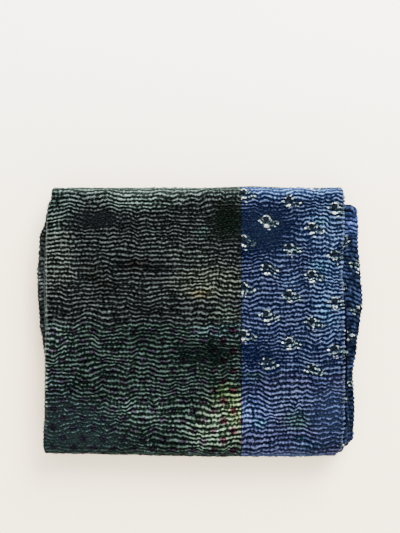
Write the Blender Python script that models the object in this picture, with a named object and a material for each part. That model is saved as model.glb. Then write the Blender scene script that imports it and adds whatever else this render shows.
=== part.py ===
"""A kantha quilt, folded up: one sheet of quilted cloth, folded in three across and then rolled in four.

Units are metres, +X along the stitched rows, +Y towards the back of the pile, +Z up.
The origin is the middle of the pile's underside.

The first fold is a letter S across the width. It turns the quilt into a strip of three layers:
the top flap, which ends at the right hem, the middle layer, and the under flap, which ends at the left hem.
The second fold rolls that strip lengthwise. From its back end the strip runs forward on the floor, over the
front fold to the top, down the back fold, forward again inside, and over the inner fold to its other end.
"""

import math

import bmesh
import bpy
from mathutils import noise, Vector

# Driving dimensions of the cloth and the pile
CLOTH = 0.0030  # thickness of the quilt along a stitched row
LAYER_PITCH = 0.0050  # height that each layer takes up in the pile
PUCKER = 0.0015  # how far the cloth stands up between two stitched rows
ROW_PITCH = 0.0073  # distance between two stitched rows
PANEL_WIDTH = 0.4976  # width of the top flap, hem to fold
FRONT_EDGE = -0.2293  # the front fold's furthest point
BACK_EDGE = 0.2251  # the back fold's furthest point
PILE_SHIFT = (-0.0077, -0.0008)  # brings the middle of the pile's outline to the origin

# Sizes that follow from them
STRIP = 3 * LAYER_PITCH
HALF_STRIP = LAYER_PITCH + CLOTH / 2
TURN_OUTSIDE = LAYER_PITCH / 2 + CLOTH / 2
TURN_INSIDE = LAYER_PITCH / 2 - CLOTH / 2
FRONT_RADIUS = 1.5 * STRIP
BACK_RADIUS = 1.0 * STRIP
INNER_RADIUS = 0.5 * STRIP
FLOOR_RUN_Z = HALF_STRIP
INSIDE_RUN_Z = FLOOR_RUN_Z + STRIP
UPPER_RUN_Z = FLOOR_RUN_Z + 2 * STRIP
TOP_RUN_Z = FLOOR_RUN_Z + 3 * STRIP
PILE_HEIGHT = TOP_RUN_Z + HALF_STRIP
FRONT_BEND_Y = FRONT_EDGE + FRONT_RADIUS + HALF_STRIP
BACK_BEND_Y = BACK_EDGE - BACK_RADIUS - HALF_STRIP

# The strip's runs and folds in order, from its end on the floor, and how many plain steps each has
RUNS = (
    ("floor_run", 10),
    ("front_fold", 10),
    ("top_run", 12),
    ("back_fold", 8),
    ("inside_run", 10),
    ("inner_fold", 6),
    ("upper_run", 14),
)
RUN_INDEX = {name: index for index, (name, _) in enumerate(RUNS)}

# Where the strip's four edges lie, in millimetres from the middle of the top flap.
# run, share of that run, left fold, left hem, right hem, right fold
EDGES = (
    ("floor_run", 0.00, -246, -243, 243, 252),
    ("floor_run", 0.50, -253, -250, 246, 258),
    ("floor_run", 0.90, -254, -249, 245, 256),
    ("front_fold", 0.35, -254, -250, 237, 249),
    ("front_fold", 0.75, -254, -252, 238, 251),
    ("top_run", 0.02, -253, -251, 246, 255),
    ("top_run", 0.10, -251, -249, 249, 256),
    ("top_run", 0.35, -250, -250, 249, 256),
    ("top_run", 0.50, -248, -253, 248, 254),
    ("top_run", 0.70, -248, -254, 245, 248),
    ("top_run", 0.90, -247, -250, 248, 246),
    ("back_fold", 0.15, -240, -240, 249, 246),
    ("back_fold", 0.80, -242, -240, 247, 247),
    ("inside_run", 0.15, -252, -248, 250, 256),
    ("inside_run", 0.45, -263, -256, 252, 268),
    ("inside_run", 0.65, -258, -252, 254, 266),
    ("inside_run", 0.95, -248, -246, 249, 260),
    ("inner_fold", 0.50, -246, -244, 261, 264),
    ("upper_run", 0.02, -247, -245, 265, 269),
    ("upper_run", 0.12, -248, -246, 262, 271),
    ("upper_run", 0.28, -249, -247, 253, 268),
    ("upper_run", 0.42, -257, -251, 252, 275),
    ("upper_run", 0.48, -262, -255, 252, 279),
    ("upper_run", 0.60, -265, -258, 251, 284),
    ("upper_run", 0.72, -266, -259, 250, 281),
    ("upper_run", 0.84, -262, -256, 249, 277),
    ("upper_run", 0.94, -252, -248, 248, 277),
    ("upper_run", 1.00, -246, -244, 247, 275),
)
LEFT_FOLD, LEFT_HEM, RIGHT_HEM, RIGHT_FOLD = range(4)

# How the rows and the pile stray from straight and flat
ROW_WANDER = 0.0016  # how far a stitched row strays to the front or the back
WANDER_LENGTH = 0.055  # length of one of those strays
CROWN = 0.0016  # how far the top swells and sinks
CROWN_LENGTH = 0.15
FRONT_BOW = 0.0052  # how much further forward the front fold is right of the middle than at the left
BOW_LEFT = (-0.26, 0.04)  # the front comes forward between these x
BOW_RIGHT = (0.15, 0.28)  # and goes back again a little between these
BOW_RIGHT_SHARE = 0.35
BOW_BACK_Y = -0.08  # the bow starts at this y and is full BOW_FULL behind the front fold
BOW_FULL = 0.04
FLOOR_END_Y = 0.2262  # the back end of the run on the floor
FLOOR_END_TONGUE = 0.0070  # how far that end pokes out behind the pile
TONGUE_X = 0.086
TONGUE_HALF_WIDTH = 0.085
UPPER_END_Y = 0.2000  # the strip's other end, inside the back fold
UPPER_END_SLANT = 0.0030
END_ROUNDING = 0.008  # how far that end's corners are set back
END_CORNER = (0.262, 0.281)  # distance from the middle over which they are

NOISE_GAIN = 1.6  # brings the noise's usual reach to about 1
WANDER_SEED = 8.1
CROWN_SEED = 3.7
ROW_END_ROOM = 0.04  # share of a run, at each end, over which its rows come back to their places
RIDGE_START = (0.12, 0.30)  # shares of the first quilted run over which its ridges rise to their full height
RIDGE_END = (0.30, 0.05)  # and of the last one, before its end, over which they sink again

FLAP_COLUMNS = 7  # faces across the top flap
BORDER_SHARE = 0.94  # where the part of the middle layer that shows at the right begins
WEAVE_COLOR = (0.045, 0.062, 0.060, 1.0)


def smooth_step(low, high, value):
    """Rises from 0 at low to 1 at high, level at both ends."""
    share = min(1.0, max(0.0, (value - low) / (high - low)))
    return share * share * (3 - 2 * share)


def waver(x, y, seed):
    """A smooth wave between about -1 and 1."""
    return noise.noise(Vector((x, y, seed))) * NOISE_GAIN


def edges_at(place):
    """The x of the left fold, left hem, right hem and right fold at a place along the strip."""
    places = [RUN_INDEX[row[0]] + row[1] for row in EDGES]
    if place <= places[0]:
        return [value / 1000 for value in EDGES[0][2:]]
    if place >= places[-1]:
        return [value / 1000 for value in EDGES[-1][2:]]
    after = next(index for index, at in enumerate(places) if at > place)
    share = smooth_step(places[after - 1], places[after], place)
    before_row, after_row = EDGES[after - 1][2:], EDGES[after][2:]
    return [(a + (b - a) * share) / 1000 for a, b in zip(before_row, after_row)]


def floor_end(x):
    """Where the run on the floor ends at the back, with its tongue behind the pile."""
    tongue = 1 - smooth_step(0, TONGUE_HALF_WIDTH, abs(x - TONGUE_X))
    return FLOOR_END_Y + FLOOR_END_TONGUE * tongue


def upper_end(x):
    """Where the run under the top ends, inside the back fold."""
    return UPPER_END_Y - UPPER_END_SLANT * x / PANEL_WIDTH - END_ROUNDING * smooth_step(*END_CORNER, abs(x))


def strip_line(place, x):
    """The strip's middle line at a place along it: y, z and the normal's y and z, on its top flap's side."""
    index = min(int(place), len(RUNS) - 1)
    share = place - index
    run = RUNS[index][0]
    straight = {
        "floor_run": (floor_end(x), FRONT_BEND_Y, FLOOR_RUN_Z, -1.0),
        "top_run": (FRONT_BEND_Y, BACK_BEND_Y, TOP_RUN_Z, 1.0),
        "inside_run": (BACK_BEND_Y, FRONT_BEND_Y, INSIDE_RUN_Z, -1.0),
        "upper_run": (FRONT_BEND_Y, upper_end(x), UPPER_RUN_Z, 1.0),
    }
    if run in straight:
        start, end, height, up = straight[run]
        return start + (end - start) * share, height, 0.0, up
    radius, bend_y, bend_z, first_angle = {
        "front_fold": (FRONT_RADIUS, FRONT_BEND_Y, FLOOR_RUN_Z + FRONT_RADIUS, -90.0),
        "back_fold": (BACK_RADIUS, BACK_BEND_Y, TOP_RUN_Z - BACK_RADIUS, 90.0),
        "inner_fold": (INNER_RADIUS, FRONT_BEND_Y, INSIDE_RUN_Z + INNER_RADIUS, -90.0),
    }[run]
    angle = math.radians(first_angle - 180 * share)
    out_y, out_z = math.cos(angle), math.sin(angle)
    return bend_y + radius * out_y, bend_z + radius * out_z, out_y, out_z


def warp(x, y, z):
    """The pile's unevenness, which grows with height so that the underside stays flat on the floor."""
    lift = CROWN * waver(x / CROWN_LENGTH, y / CROWN_LENGTH, CROWN_SEED) * z / PILE_HEIGHT
    held_back = 1 - smooth_step(*BOW_LEFT, x) + BOW_RIGHT_SHARE * smooth_step(*BOW_RIGHT, x)
    near_front = smooth_step(BOW_BACK_Y, FRONT_EDGE + BOW_FULL, y)
    return x, y + FRONT_BOW * held_back * near_front, z + lift


def place_point(x, rise, place):
    """A point of the strip: x across, rise above its middle line, and the place along it."""
    y, z, normal_y, normal_z = strip_line(place, x)
    x, y, z = warp(x, y + normal_y * rise, max(0.0, z + normal_z * rise))
    return Vector((x + PILE_SHIFT[0], y + PILE_SHIFT[1], z))


def across(kind, share, edges):
    """x, rise and the outward direction (x, rise) of one column of the strip's S-shaped section.

    kind names a face of a layer or a turn between two layers. share runs along it, from the right hem towards
    the left hem of the sheet.
    """
    left_turn_x = edges[LEFT_FOLD] + TURN_OUTSIDE
    right_turn_x = edges[RIGHT_FOLD] - TURN_OUTSIDE
    faces = {
        "flap_top": (edges[RIGHT_HEM], left_turn_x, LAYER_PITCH + CLOTH / 2, 1.0),
        "flap_under": (edges[RIGHT_HEM], left_turn_x, LAYER_PITCH - CLOTH / 2, -1.0),
        "middle_under": (left_turn_x, right_turn_x, -CLOTH / 2, -1.0),
        "middle_top": (left_turn_x, right_turn_x, CLOTH / 2, 1.0),
        "under_top": (right_turn_x, edges[LEFT_HEM], -LAYER_PITCH + CLOTH / 2, 1.0),
        "under_under": (right_turn_x, edges[LEFT_HEM], -LAYER_PITCH - CLOTH / 2, -1.0),
    }
    if kind in faces:
        start, end, rise, up = faces[kind]
        return start + (end - start) * share, rise, 0.0, up
    turn_x, turn_rise, radius, sign, first, sweep = {
        "left_outside": (left_turn_x, LAYER_PITCH / 2, TURN_OUTSIDE, 1, 90, 180),
        "left_inside": (left_turn_x, LAYER_PITCH / 2, TURN_INSIDE, -1, 90, 180),
        "right_inside": (right_turn_x, -LAYER_PITCH / 2, TURN_INSIDE, -1, 90, -180),
        "right_outside": (right_turn_x, -LAYER_PITCH / 2, TURN_OUTSIDE, 1, 90, -180),
    }[kind]
    angle = math.radians(first + sweep * share)
    out_x, out_rise = math.cos(angle), math.sin(angle)
    return turn_x + radius * out_x, turn_rise + radius * out_rise, sign * out_x, sign * out_rise


def width_place(kind, share):
    """How far across the flat sheet a column lies, counted in layers and turns from the right hem."""
    order = {"flap": 0, "left": 1, "middle": 2, "right": 3, "under": 4}
    return order[kind.split("_")[0]] + share


def coarse_places():
    """The places of the plain steps along the whole strip."""
    places = [index + step / steps for index, (_, steps) in enumerate(RUNS) for step in range(steps)]
    return places + [float(len(RUNS))]


def run_length(run):
    """How long the outer face of the top flap is along a run or fold."""
    return {
        "floor_run": FLOOR_END_Y - FRONT_BEND_Y,
        "front_fold": math.pi * (FRONT_RADIUS + HALF_STRIP),
        "top_run": BACK_BEND_Y - FRONT_BEND_Y,
        "back_fold": math.pi * (BACK_RADIUS + HALF_STRIP),
        "inside_run": BACK_BEND_Y - FRONT_BEND_Y,
        "inner_fold": math.pi * (INNER_RADIUS + HALF_STRIP),
        "upper_run": UPPER_END_Y - FRONT_BEND_Y,
    }[run]


def quilted_places(runs):
    """Places on the named runs, two to a stitched row, as (place, is a ridge), and plain ones on the rest."""
    places = []
    for index, (run, steps) in enumerate(RUNS):
        if run in runs:
            rows = round(run_length(run) / ROW_PITCH)
            places += [(index + half / (2 * rows), half % 2 == 1) for half in range(2 * rows)]
        else:
            places += [(index + step / steps, False) for step in range(steps)]
    return places + [(float(len(RUNS)), False)]


def pucker_height(place, runs):
    """How high a ridge stands: full on the quilted runs, fading out towards the hidden and resting parts."""
    first = RUN_INDEX[runs[0]]
    end = RUN_INDEX[runs[-1]] + 1
    rise = smooth_step(first + RIDGE_START[0], first + RIDGE_START[1], place)
    return PUCKER * rise * (1 - smooth_step(end - RIDGE_END[0], end - RIDGE_END[1], place))


def column_points(kind, share, quilted_runs, raised=True):
    """One column of the sheet's surface, along the whole strip, as (place, point).

    On the quilted runs it has two points to a stitched row, and every other one is a ridge if it is raised.
    """
    points = []
    rows = quilted_places(quilted_runs) if quilted_runs else [(at, False) for at in coarse_places()]
    for place, is_ridge in rows:
        x, rise, out_x, out_rise = across(kind, share, edges_at(place))
        height = pucker_height(place, quilted_runs) if is_ridge and raised else 0.0
        strayed = place
        run = RUNS[min(int(place), len(RUNS) - 1)][0]
        if run in quilted_runs and place % 1 > 0:
            stray = ROW_WANDER * waver(x / WANDER_LENGTH, place * run_length(run) / WANDER_LENGTH, WANDER_SEED)
            end_room = smooth_step(0, ROW_END_ROOM, min(place % 1, 1 - place % 1))
            strayed = place + stray * end_room / run_length(run)
        points.append((place, place_point(x + out_x * height, rise + out_rise * height, strayed)))
    return points


def zip_rows(first, second):
    """Triangles between two rows of (place, vertex), whose places run the same way."""
    triangles = []
    i = j = 0
    while i < len(first) - 1 or j < len(second) - 1:
        next_first = first[i + 1][0] if i < len(first) - 1 else math.inf
        next_second = second[j + 1][0] if j < len(second) - 1 else math.inf
        if next_first <= next_second:
            triangles.append((first[i][1], first[i + 1][1], second[j][1]))
            i += 1
        else:
            triangles.append((first[i][1], second[j + 1][1], second[j][1]))
            j += 1
    return triangles


def sheet_columns():
    """The columns of the sheet's two sides, right hem to left hem: kind, share, quilted runs, raised."""
    skin = ("front_fold", "top_run", "back_fold")
    border = ("upper_run",)
    face = [("flap_top", step / FLAP_COLUMNS, skin, True) for step in range(FLAP_COLUMNS)]
    face += [("left_outside", share, skin, True) for share in (0.0, 0.25, 0.5)]
    face += [("left_outside", 0.75, (), False)]
    face += [("middle_under", share, (), False) for share in (0.0, 0.5)]
    face += [("right_inside", share, (), False) for share in (0.0, 0.5)]
    face += [("under_top", share, (), False) for share in (0.0, 0.5, 1.0)]
    back = [("flap_under", 0.0, skin, False), ("flap_under", 0.5, (), False)]
    back += [("left_inside", share, (), False) for share in (0.0, 0.5)]
    back += [("middle_top", share, (), False) for share in (0.0, 0.5)]
    back += [("middle_top", BORDER_SHARE, border, True)]
    back += [("right_outside", share, border, True) for share in (0.0, 0.25, 0.5)]
    back += [("right_outside", 0.75, (), False)]
    back += [("under_under", share, (), False) for share in (0.0, 0.5)]
    back += [("under_under", 1.0, (), False)]
    return face, back


def build_quilt():
    """The folded quilt as one closed mesh."""
    mesh = bpy.data.meshes.new("quilt")
    shape = bmesh.new()
    sides = []
    for columns in sheet_columns():
        side = []
        for column in columns:
            side.append([(place, shape.verts.new(point)) for place, point in column_points(*column)])
        sides.append(side)
    face, back = sides
    triangles = []
    for side, flipped in ((face, False), (back, True)):
        for first, second in zip(side, side[1:]):
            triangles += [tri[::-1] if flipped else tri for tri in zip_rows(first, second)]
    triangles += [tri[::-1] for tri in zip_rows(face[0], back[0])]
    triangles += zip_rows(face[-1], back[-1])
    face_kinds, back_kinds = sheet_columns()
    for end, flipped in ((0, False), (-1, True)):
        face_end = [(width_place(*kind[:2]), column[end][1]) for kind, column in zip(face_kinds, face)]
        back_end = [(width_place(*kind[:2]), column[end][1]) for kind, column in zip(back_kinds, back)]
        triangles += [tri[::-1] if flipped else tri for tri in zip_rows(face_end, back_end)]
    for triangle in triangles:
        shape.faces.new(triangle)
    bmesh.ops.recalc_face_normals(shape, faces=shape.faces)
    shape.to_mesh(mesh)
    shape.free()
    mesh.shade_smooth()
    quilt = bpy.data.objects.new("quilt", mesh)
    bpy.context.scene.collection.objects.link(quilt)
    return quilt


def quilted_cotton():
    """Dark washed cotton, rough and not shiny."""
    material = bpy.data.materials.new("quilted_cotton")
    material.use_nodes = True
    shader = material.node_tree.nodes["Principled BSDF"]
    shader.inputs["Base Color"].default_value = WEAVE_COLOR
    shader.inputs["Roughness"].default_value = 0.92
    shader.inputs["Metallic"].default_value = 0.0
    return material


def main():
    """Clears the scene and builds the quilt."""
    for old in list(bpy.data.objects):
        bpy.data.objects.remove(old)
    quilt = build_quilt()
    quilt.data.materials.append(quilted_cotton())


main()
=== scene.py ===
"""The looks of a kantha quilt, folded up: patches of old sari cloth, held together by rows of running stitch.

Units are metres, +X along the stitched rows, +Y towards the back of the pile, +Z up. Every point of the cloth
has a flat place too, which the patterns follow: flat x runs across the quilt and flat y along it, and on top
of the pile both are the same as X and Y.
"""

import logging
import math
from dataclasses import dataclass, field, fields
from enum import Enum

import bmesh
import bpy
import numpy as np
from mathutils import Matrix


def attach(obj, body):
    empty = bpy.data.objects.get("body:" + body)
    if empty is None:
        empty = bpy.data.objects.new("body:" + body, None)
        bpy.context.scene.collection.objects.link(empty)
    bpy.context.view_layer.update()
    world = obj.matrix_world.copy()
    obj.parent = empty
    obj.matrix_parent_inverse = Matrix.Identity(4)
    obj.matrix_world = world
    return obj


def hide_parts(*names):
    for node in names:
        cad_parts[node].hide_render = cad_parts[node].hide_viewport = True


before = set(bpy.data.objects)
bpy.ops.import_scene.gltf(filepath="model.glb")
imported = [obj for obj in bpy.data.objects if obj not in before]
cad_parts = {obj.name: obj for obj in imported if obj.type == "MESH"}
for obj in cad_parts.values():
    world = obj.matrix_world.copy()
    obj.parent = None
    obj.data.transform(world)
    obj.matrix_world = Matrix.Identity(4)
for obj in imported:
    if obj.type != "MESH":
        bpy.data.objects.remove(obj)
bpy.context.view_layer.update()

LOG = logging.getLogger("quilt")
MM = 0.001
# flat x of the cloth on the quilt's back starts this much further on
BACK_SHIFT = 2.0
# where the patches meet: the seam's flat x, and the flat y of the line in the left and in the right column
SEAM = 77 * MM
LEFT_LINE = 3 * MM
RIGHT_LINE = -86 * MM

# what the finishes' methods hand on: one value of a material, and the nodes that make it
Socket = bpy.types.NodeSocket
Tree = bpy.types.NodeTree


def smooth_step(low: float, high: float, value: np.ndarray) -> np.ndarray:
    """Rises from 0 at low to 1 at high, level at both ends.

    Args:
        low: Where the rise starts.
        high: Where it ends.
        value: The values to look up.

    Returns:
        The rise at each value.
    """
    share = np.clip((value - low) / (high - low), 0.0, 1.0)
    return share * share * (3 - 2 * share)


def linear_colour(shade: str) -> tuple:
    """Turns an sRGB hex value to the linear RGBA that a shader takes.

    Args:
        shade: The colour, such as "#2b3a44".

    Returns:
        Linear red, green, blue and alpha.
    """
    parts = [int(shade[at : at + 2], 16) / 255 for at in (1, 3, 5)]
    return tuple(c / 12.92 if c <= 0.04045 else ((c + 0.055) / 1.055) ** 2.4 for c in parts) + (1.0,)


def add_node(tree: Tree, kind: str, inputs: dict, out: int = 0, **settings: object) -> Socket:
    """Adds a shader node with its settings and links.

    Args:
        tree: The node tree.
        kind: The node's type, without its ShaderNode prefix.
        inputs: What each input takes, by name or number: a socket to link, or a value.
        out: The number of the output to return.
        settings: The node's own settings.

    Returns:
        One output socket of the new node.
    """
    node = tree.nodes.new("ShaderNode" + kind)
    for name, value in settings.items():
        setattr(node, name, value)
    for name, value in inputs.items():
        if isinstance(value, Socket):
            tree.links.new(value, node.inputs[name])
        else:
            node.inputs[name].default_value = value
    return node.outputs[out]


def oval(tree: Tree, place: Socket, middle: tuple, reach: tuple, edge: tuple) -> Socket:
    """How far a place is inside an oval whose edge is soft.

    Args:
        tree: The node tree.
        place: The place, in metres.
        middle: The oval's middle, in millimetres.
        reach: How far it reaches from there, across and along, in millimetres.
        edge: The shares of that reach at which it ends and at which it is full.

    Returns:
        1 in its middle, 0 outside.
    """
    moved = add_node(tree, "VectorMath", {0: place, 1: (middle[0] * MM, middle[1] * MM, 0)},
                     operation="SUBTRACT")
    scaled = add_node(tree, "VectorMath", {0: moved, 1: (1 / (reach[0] * MM), 1 / (reach[1] * MM), 0)},
                      operation="MULTIPLY")
    away = add_node(tree, "VectorMath", {0: scaled}, out=1, operation="LENGTH")
    return add_node(tree, "MapRange", {0: away, 1: edge[0], 2: edge[1]}, interpolation_type="SMOOTHSTEP")


class Drift:
    """A value that wanders smoothly between -1 and 1 over a plane, the same on each run."""

    CELLS = 256

    def __init__(self, seed: int, kinked: bool = False) -> None:
        """Draws the values that the drift passes through, with a kink at each step across if wanted."""
        self.values = np.random.default_rng(seed).uniform(-1, 1, (self.CELLS, self.CELLS))
        self.kinked = kinked

    def at(self, x: np.ndarray, y: np.ndarray) -> np.ndarray:
        """Looks the drift up.

        Args:
            x: Places across, one cell apart for each whole number.
            y: Places along.

        Returns:
            The drift at each place.
        """
        x, y = np.broadcast_arrays(np.asarray(x, float), np.asarray(y, float))
        left, low = np.floor(x).astype(int), np.floor(y).astype(int)
        across, up = x - left, y - low
        if not self.kinked:
            across = across**3 * (across * (6 * across - 15) + 10)
        up = up**3 * (up * (6 * up - 15) + 10)
        corner = [[self.values[(left + i) % self.CELLS, (low + j) % self.CELLS] for j in (0, 1)]
                  for i in (0, 1)]
        near = corner[0][0] + (corner[1][0] - corner[0][0]) * across
        far = corner[0][1] + (corner[1][1] - corner[0][1]) * across
        return near + (far - near) * up


class Run(Enum):
    """The straight runs and folds of the rolled strip, from its end on the floor."""

    FLOOR = 0
    FRONT_FOLD = 1
    TOP = 2
    BACK_FOLD = 3
    INSIDE = 4
    INNER_FOLD = 5
    UPPER = 6


# the places where the strip turns round on itself
FOLDS = (Run.FRONT_FOLD, Run.BACK_FOLD, Run.INNER_FOLD)


class Face(Enum):
    """The stretches of cloth that a section across the strip passes, on its face and on its back."""

    HEM_ROLL = "round the right hem"
    FLAP = "top of the flap"
    FLAP_BACK = "underside of the flap"
    LEFT_TURN = "outside of the left fold"
    LEFT_TURN_BACK = "inside of the left fold"
    MIDDLE = "underside of the middle layer"
    MIDDLE_BACK = "top of the middle layer"
    RIGHT_TURN = "inside of the right fold"
    RIGHT_TURN_BACK = "outside of the right fold"
    UNDER = "top of the under flap"
    UNDER_BACK = "underside of the under flap"


@dataclass(frozen=True)
class Column:
    """One line of the cloth along the strip: its stretch, its share of that, and a shift from there in x."""

    face: Face
    share: float = 0.0
    offset: float = 0.0


@dataclass
class Section:
    """Where the columns of a sheet lie across the strip, as arrays of line by column."""

    x: np.ndarray
    rise: np.ndarray
    out_x: np.ndarray
    out_rise: np.ndarray
    flat_x: np.ndarray


@dataclass(frozen=True)
class FoldedPile:
    """The quilt's folds: a letter S across its width, for a strip of three layers, and then a roll of four.

    A place along the strip counts its runs and folds, and a rise is a height above the strip's middle.
    """

    cloth: float = 3.0 * MM
    layer_pitch: float = 5.0 * MM
    front_edge: float = -229.3 * MM
    back_edge: float = 225.1 * MM
    panel_width: float = 497.6 * MM
    shift: tuple = (-7.7 * MM, -0.8 * MM)
    crown: float = 1.6 * MM
    crown_length: float = 150 * MM
    # the front edge lies further back towards its left end, and by a share of that towards its right end:
    # the shift grows from bow_start on, and is whole from bow_full behind the edge
    front_bow: float = 5.2 * MM
    bow_left: tuple = (-260 * MM, 40 * MM)
    bow_right: tuple = (150 * MM, 280 * MM)
    bow_right_share: float = 0.35
    bow_start: float = -80 * MM
    bow_full: float = 40 * MM
    floor_end: float = 226.2 * MM
    # the end on the floor sticks out a little further round one place
    tongue: float = 7.0 * MM
    tongue_x: float = 86 * MM
    tongue_half: float = 85 * MM
    upper_end: float = 200.0 * MM
    end_slant: float = 3.0 * MM
    # the upper run's end is rounded off at its corners
    end_rounding: float = 8 * MM
    corner: tuple = (262 * MM, 281 * MM)
    drift: Drift = field(default_factory=lambda: Drift(3))
    # run, share of that run, then in millimetres the left fold, left hem, right hem and right fold
    edge_table: tuple = (
        (Run.FLOOR, 0.00, -246, -243, 243, 252),
        (Run.FLOOR, 0.50, -253, -250, 246, 258),
        (Run.FLOOR, 0.90, -254, -249, 245, 256),
        (Run.FRONT_FOLD, 0.35, -254, -250, 237, 249),
        (Run.FRONT_FOLD, 0.75, -254, -252, 238, 251),
        (Run.TOP, 0.02, -253, -251, 246, 255),
        (Run.TOP, 0.10, -251, -249, 249, 256),
        (Run.TOP, 0.35, -250, -250, 249, 256),
        (Run.TOP, 0.50, -248, -253, 248, 254),
        (Run.TOP, 0.70, -248, -254, 245, 248),
        (Run.TOP, 0.90, -247, -250, 248, 246),
        (Run.BACK_FOLD, 0.15, -240, -240, 249, 246),
        (Run.BACK_FOLD, 0.80, -242, -240, 247, 247),
        (Run.INSIDE, 0.15, -252, -248, 250, 256),
        (Run.INSIDE, 0.45, -263, -256, 252, 268),
        (Run.INSIDE, 0.65, -258, -252, 254, 266),
        (Run.INSIDE, 0.95, -248, -246, 249, 260),
        (Run.INNER_FOLD, 0.50, -246, -244, 261, 264),
        (Run.UPPER, 0.02, -247, -245, 265, 269),
        (Run.UPPER, 0.12, -248, -246, 262, 271),
        (Run.UPPER, 0.28, -249, -247, 253, 268),
        (Run.UPPER, 0.42, -257, -251, 252, 275),
        (Run.UPPER, 0.48, -262, -255, 252, 279),
        (Run.UPPER, 0.60, -265, -258, 251, 284),
        (Run.UPPER, 0.72, -266, -259, 250, 281),
        (Run.UPPER, 0.84, -262, -256, 249, 277),
        (Run.UPPER, 0.94, -252, -248, 248, 277),
        (Run.UPPER, 1.00, -246, -244, 247, 275),
    )

    @property
    def strip(self) -> float:
        """Height of the strip's three layers."""
        return 3 * self.layer_pitch

    @property
    def half_strip(self) -> float:
        """Rise of the strip's top surface."""
        return self.layer_pitch + self.cloth / 2

    @property
    def turn_outside(self) -> float:
        """Outer radius of a fold between two layers."""
        return (self.layer_pitch + self.cloth) / 2

    @property
    def turn_inside(self) -> float:
        """Inner radius of a fold between two layers."""
        return (self.layer_pitch - self.cloth) / 2

    @property
    def front_bend(self) -> float:
        """Y where the front fold starts to bend."""
        return self.front_edge + 1.5 * self.strip + self.half_strip

    @property
    def back_bend(self) -> float:
        """Y where the back fold starts to bend."""
        return self.back_edge - self.strip - self.half_strip

    @property
    def height(self) -> float:
        """Height of the pile's top."""
        return self.run_height(Run.TOP) + self.half_strip

    def run_height(self, run: Run) -> float:
        """Height of the middle of a straight run."""
        return self.half_strip + self.strip * {Run.FLOOR: 0, Run.INSIDE: 1, Run.UPPER: 2, Run.TOP: 3}[run]

    def radius(self, run: Run) -> float:
        """Radius of the middle of a fold of the strip."""
        return self.strip * {Run.FRONT_FOLD: 1.5, Run.BACK_FOLD: 1.0, Run.INNER_FOLD: 0.5}[run]

    def flat_ends(self) -> np.ndarray:
        """Where the runs start and end along the quilt, measured on the flap's face.

        Returns:
            Flat y at the start of each run, in order, and at the end of the last.
        """
        top = self.back_bend - self.front_bend
        bends = {run: math.pi * (self.radius(run) + self.half_strip) for run in FOLDS}
        lengths = [self.floor_end - self.front_bend, bends[Run.FRONT_FOLD], top, bends[Run.BACK_FOLD], top,
                   bends[Run.INNER_FOLD], self.upper_end - self.front_bend]
        ends = np.concatenate([[0.0], np.cumsum(lengths)])
        return ends - ends[Run.TOP.value] + self.front_bend

    def start_of(self, run: Run) -> float:
        """Flat y at the start of a run."""
        return self.flat_ends()[run.value]

    def place_at(self, flat_y: np.ndarray) -> np.ndarray:
        """The place along the strip of a flat y."""
        return np.interp(flat_y, self.flat_ends(), np.arange(len(Run) + 1.0))

    def edges_at(self, place: np.ndarray) -> np.ndarray:
        """Where the strip's edges lie.

        Args:
            place: Places along the strip, one for each line.

        Returns:
            The x of the left fold, left hem, right hem and right fold of each line.
        """
        places = np.array([row[0].value + row[1] for row in self.edge_table])
        rows = np.array([row[2:] for row in self.edge_table]) * MM
        after = np.clip(np.searchsorted(places, place, side="right"), 1, len(places) - 1)
        share = smooth_step(places[after - 1], places[after], place)[:, None]
        return rows[after - 1] + (rows[after] - rows[after - 1]) * share

    def section(self, columns: list[Column], place: np.ndarray) -> Section:
        """Places the columns of a sheet across the strip.

        Args:
            columns: The columns, in order.
            place: The place of each line.

        Returns:
            Their x, rise, outward direction and flat x.
        """
        edges = self.edges_at(place)
        left, hem_left, hem_right, right = edges.T
        left_turn, right_turn = left + self.turn_outside, right - self.turn_outside
        pitch, half = self.layer_pitch, self.cloth / 2
        left_arc = math.pi * self.turn_outside
        middle_start = left_turn - left_arc
        middle_end = middle_start - (right_turn - left_turn)
        under_start = middle_end - left_arc
        # first x, last x, rise, which side is out, flat x at the start
        straight = {
            Face.FLAP: (hem_right, left_turn, pitch + half, 1.0, hem_right),
            Face.FLAP_BACK: (hem_right, left_turn, pitch - half, -1.0, hem_right),
            Face.MIDDLE: (left_turn, right_turn, -half, -1.0, middle_start),
            Face.MIDDLE_BACK: (left_turn, right_turn, half, 1.0, middle_start),
            Face.UNDER: (right_turn, hem_left, half - pitch, 1.0, under_start),
            Face.UNDER_BACK: (right_turn, hem_left, -half - pitch, -1.0, under_start),
        }
        # centre x, centre rise, radius, which side is out, first angle, sweep, flat x at the start
        bends = {
            Face.HEM_ROLL: (hem_right - half, pitch, half, 1, -90, 180, hem_right + half),
            Face.LEFT_TURN: (left_turn, pitch / 2, self.turn_outside, 1, 90, 180, left_turn),
            Face.LEFT_TURN_BACK: (left_turn, pitch / 2, self.turn_inside, -1, 90, 180, left_turn),
            Face.RIGHT_TURN: (right_turn, -pitch / 2, self.turn_inside, -1, 90, -180, middle_end),
            Face.RIGHT_TURN_BACK: (right_turn, -pitch / 2, self.turn_outside, 1, 90, -180, middle_end),
        }
        found = []
        for column in columns:
            if column.face in straight:
                start, end, rise, up, flat = straight[column.face]
                x = start + (end - start) * column.share + column.offset
                found.append((x, rise + 0 * x, 0 * x, up + 0 * x, flat - np.abs(x - start)))
                continue
            centre, centre_rise, radius, side, first, sweep, flat = bends[column.face]
            angle = math.radians(first + sweep * column.share)
            out_x, out_rise = math.cos(angle), math.sin(angle)
            arc = math.pi * half if column.face is Face.HEM_ROLL else left_arc
            found.append((centre + radius * out_x, centre_rise + radius * out_rise + 0 * centre,
                          side * out_x + 0 * centre, side * out_rise + 0 * centre, flat - arc * column.share))
        return Section(*(np.stack(values, axis=1) for values in zip(*found)))

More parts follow.
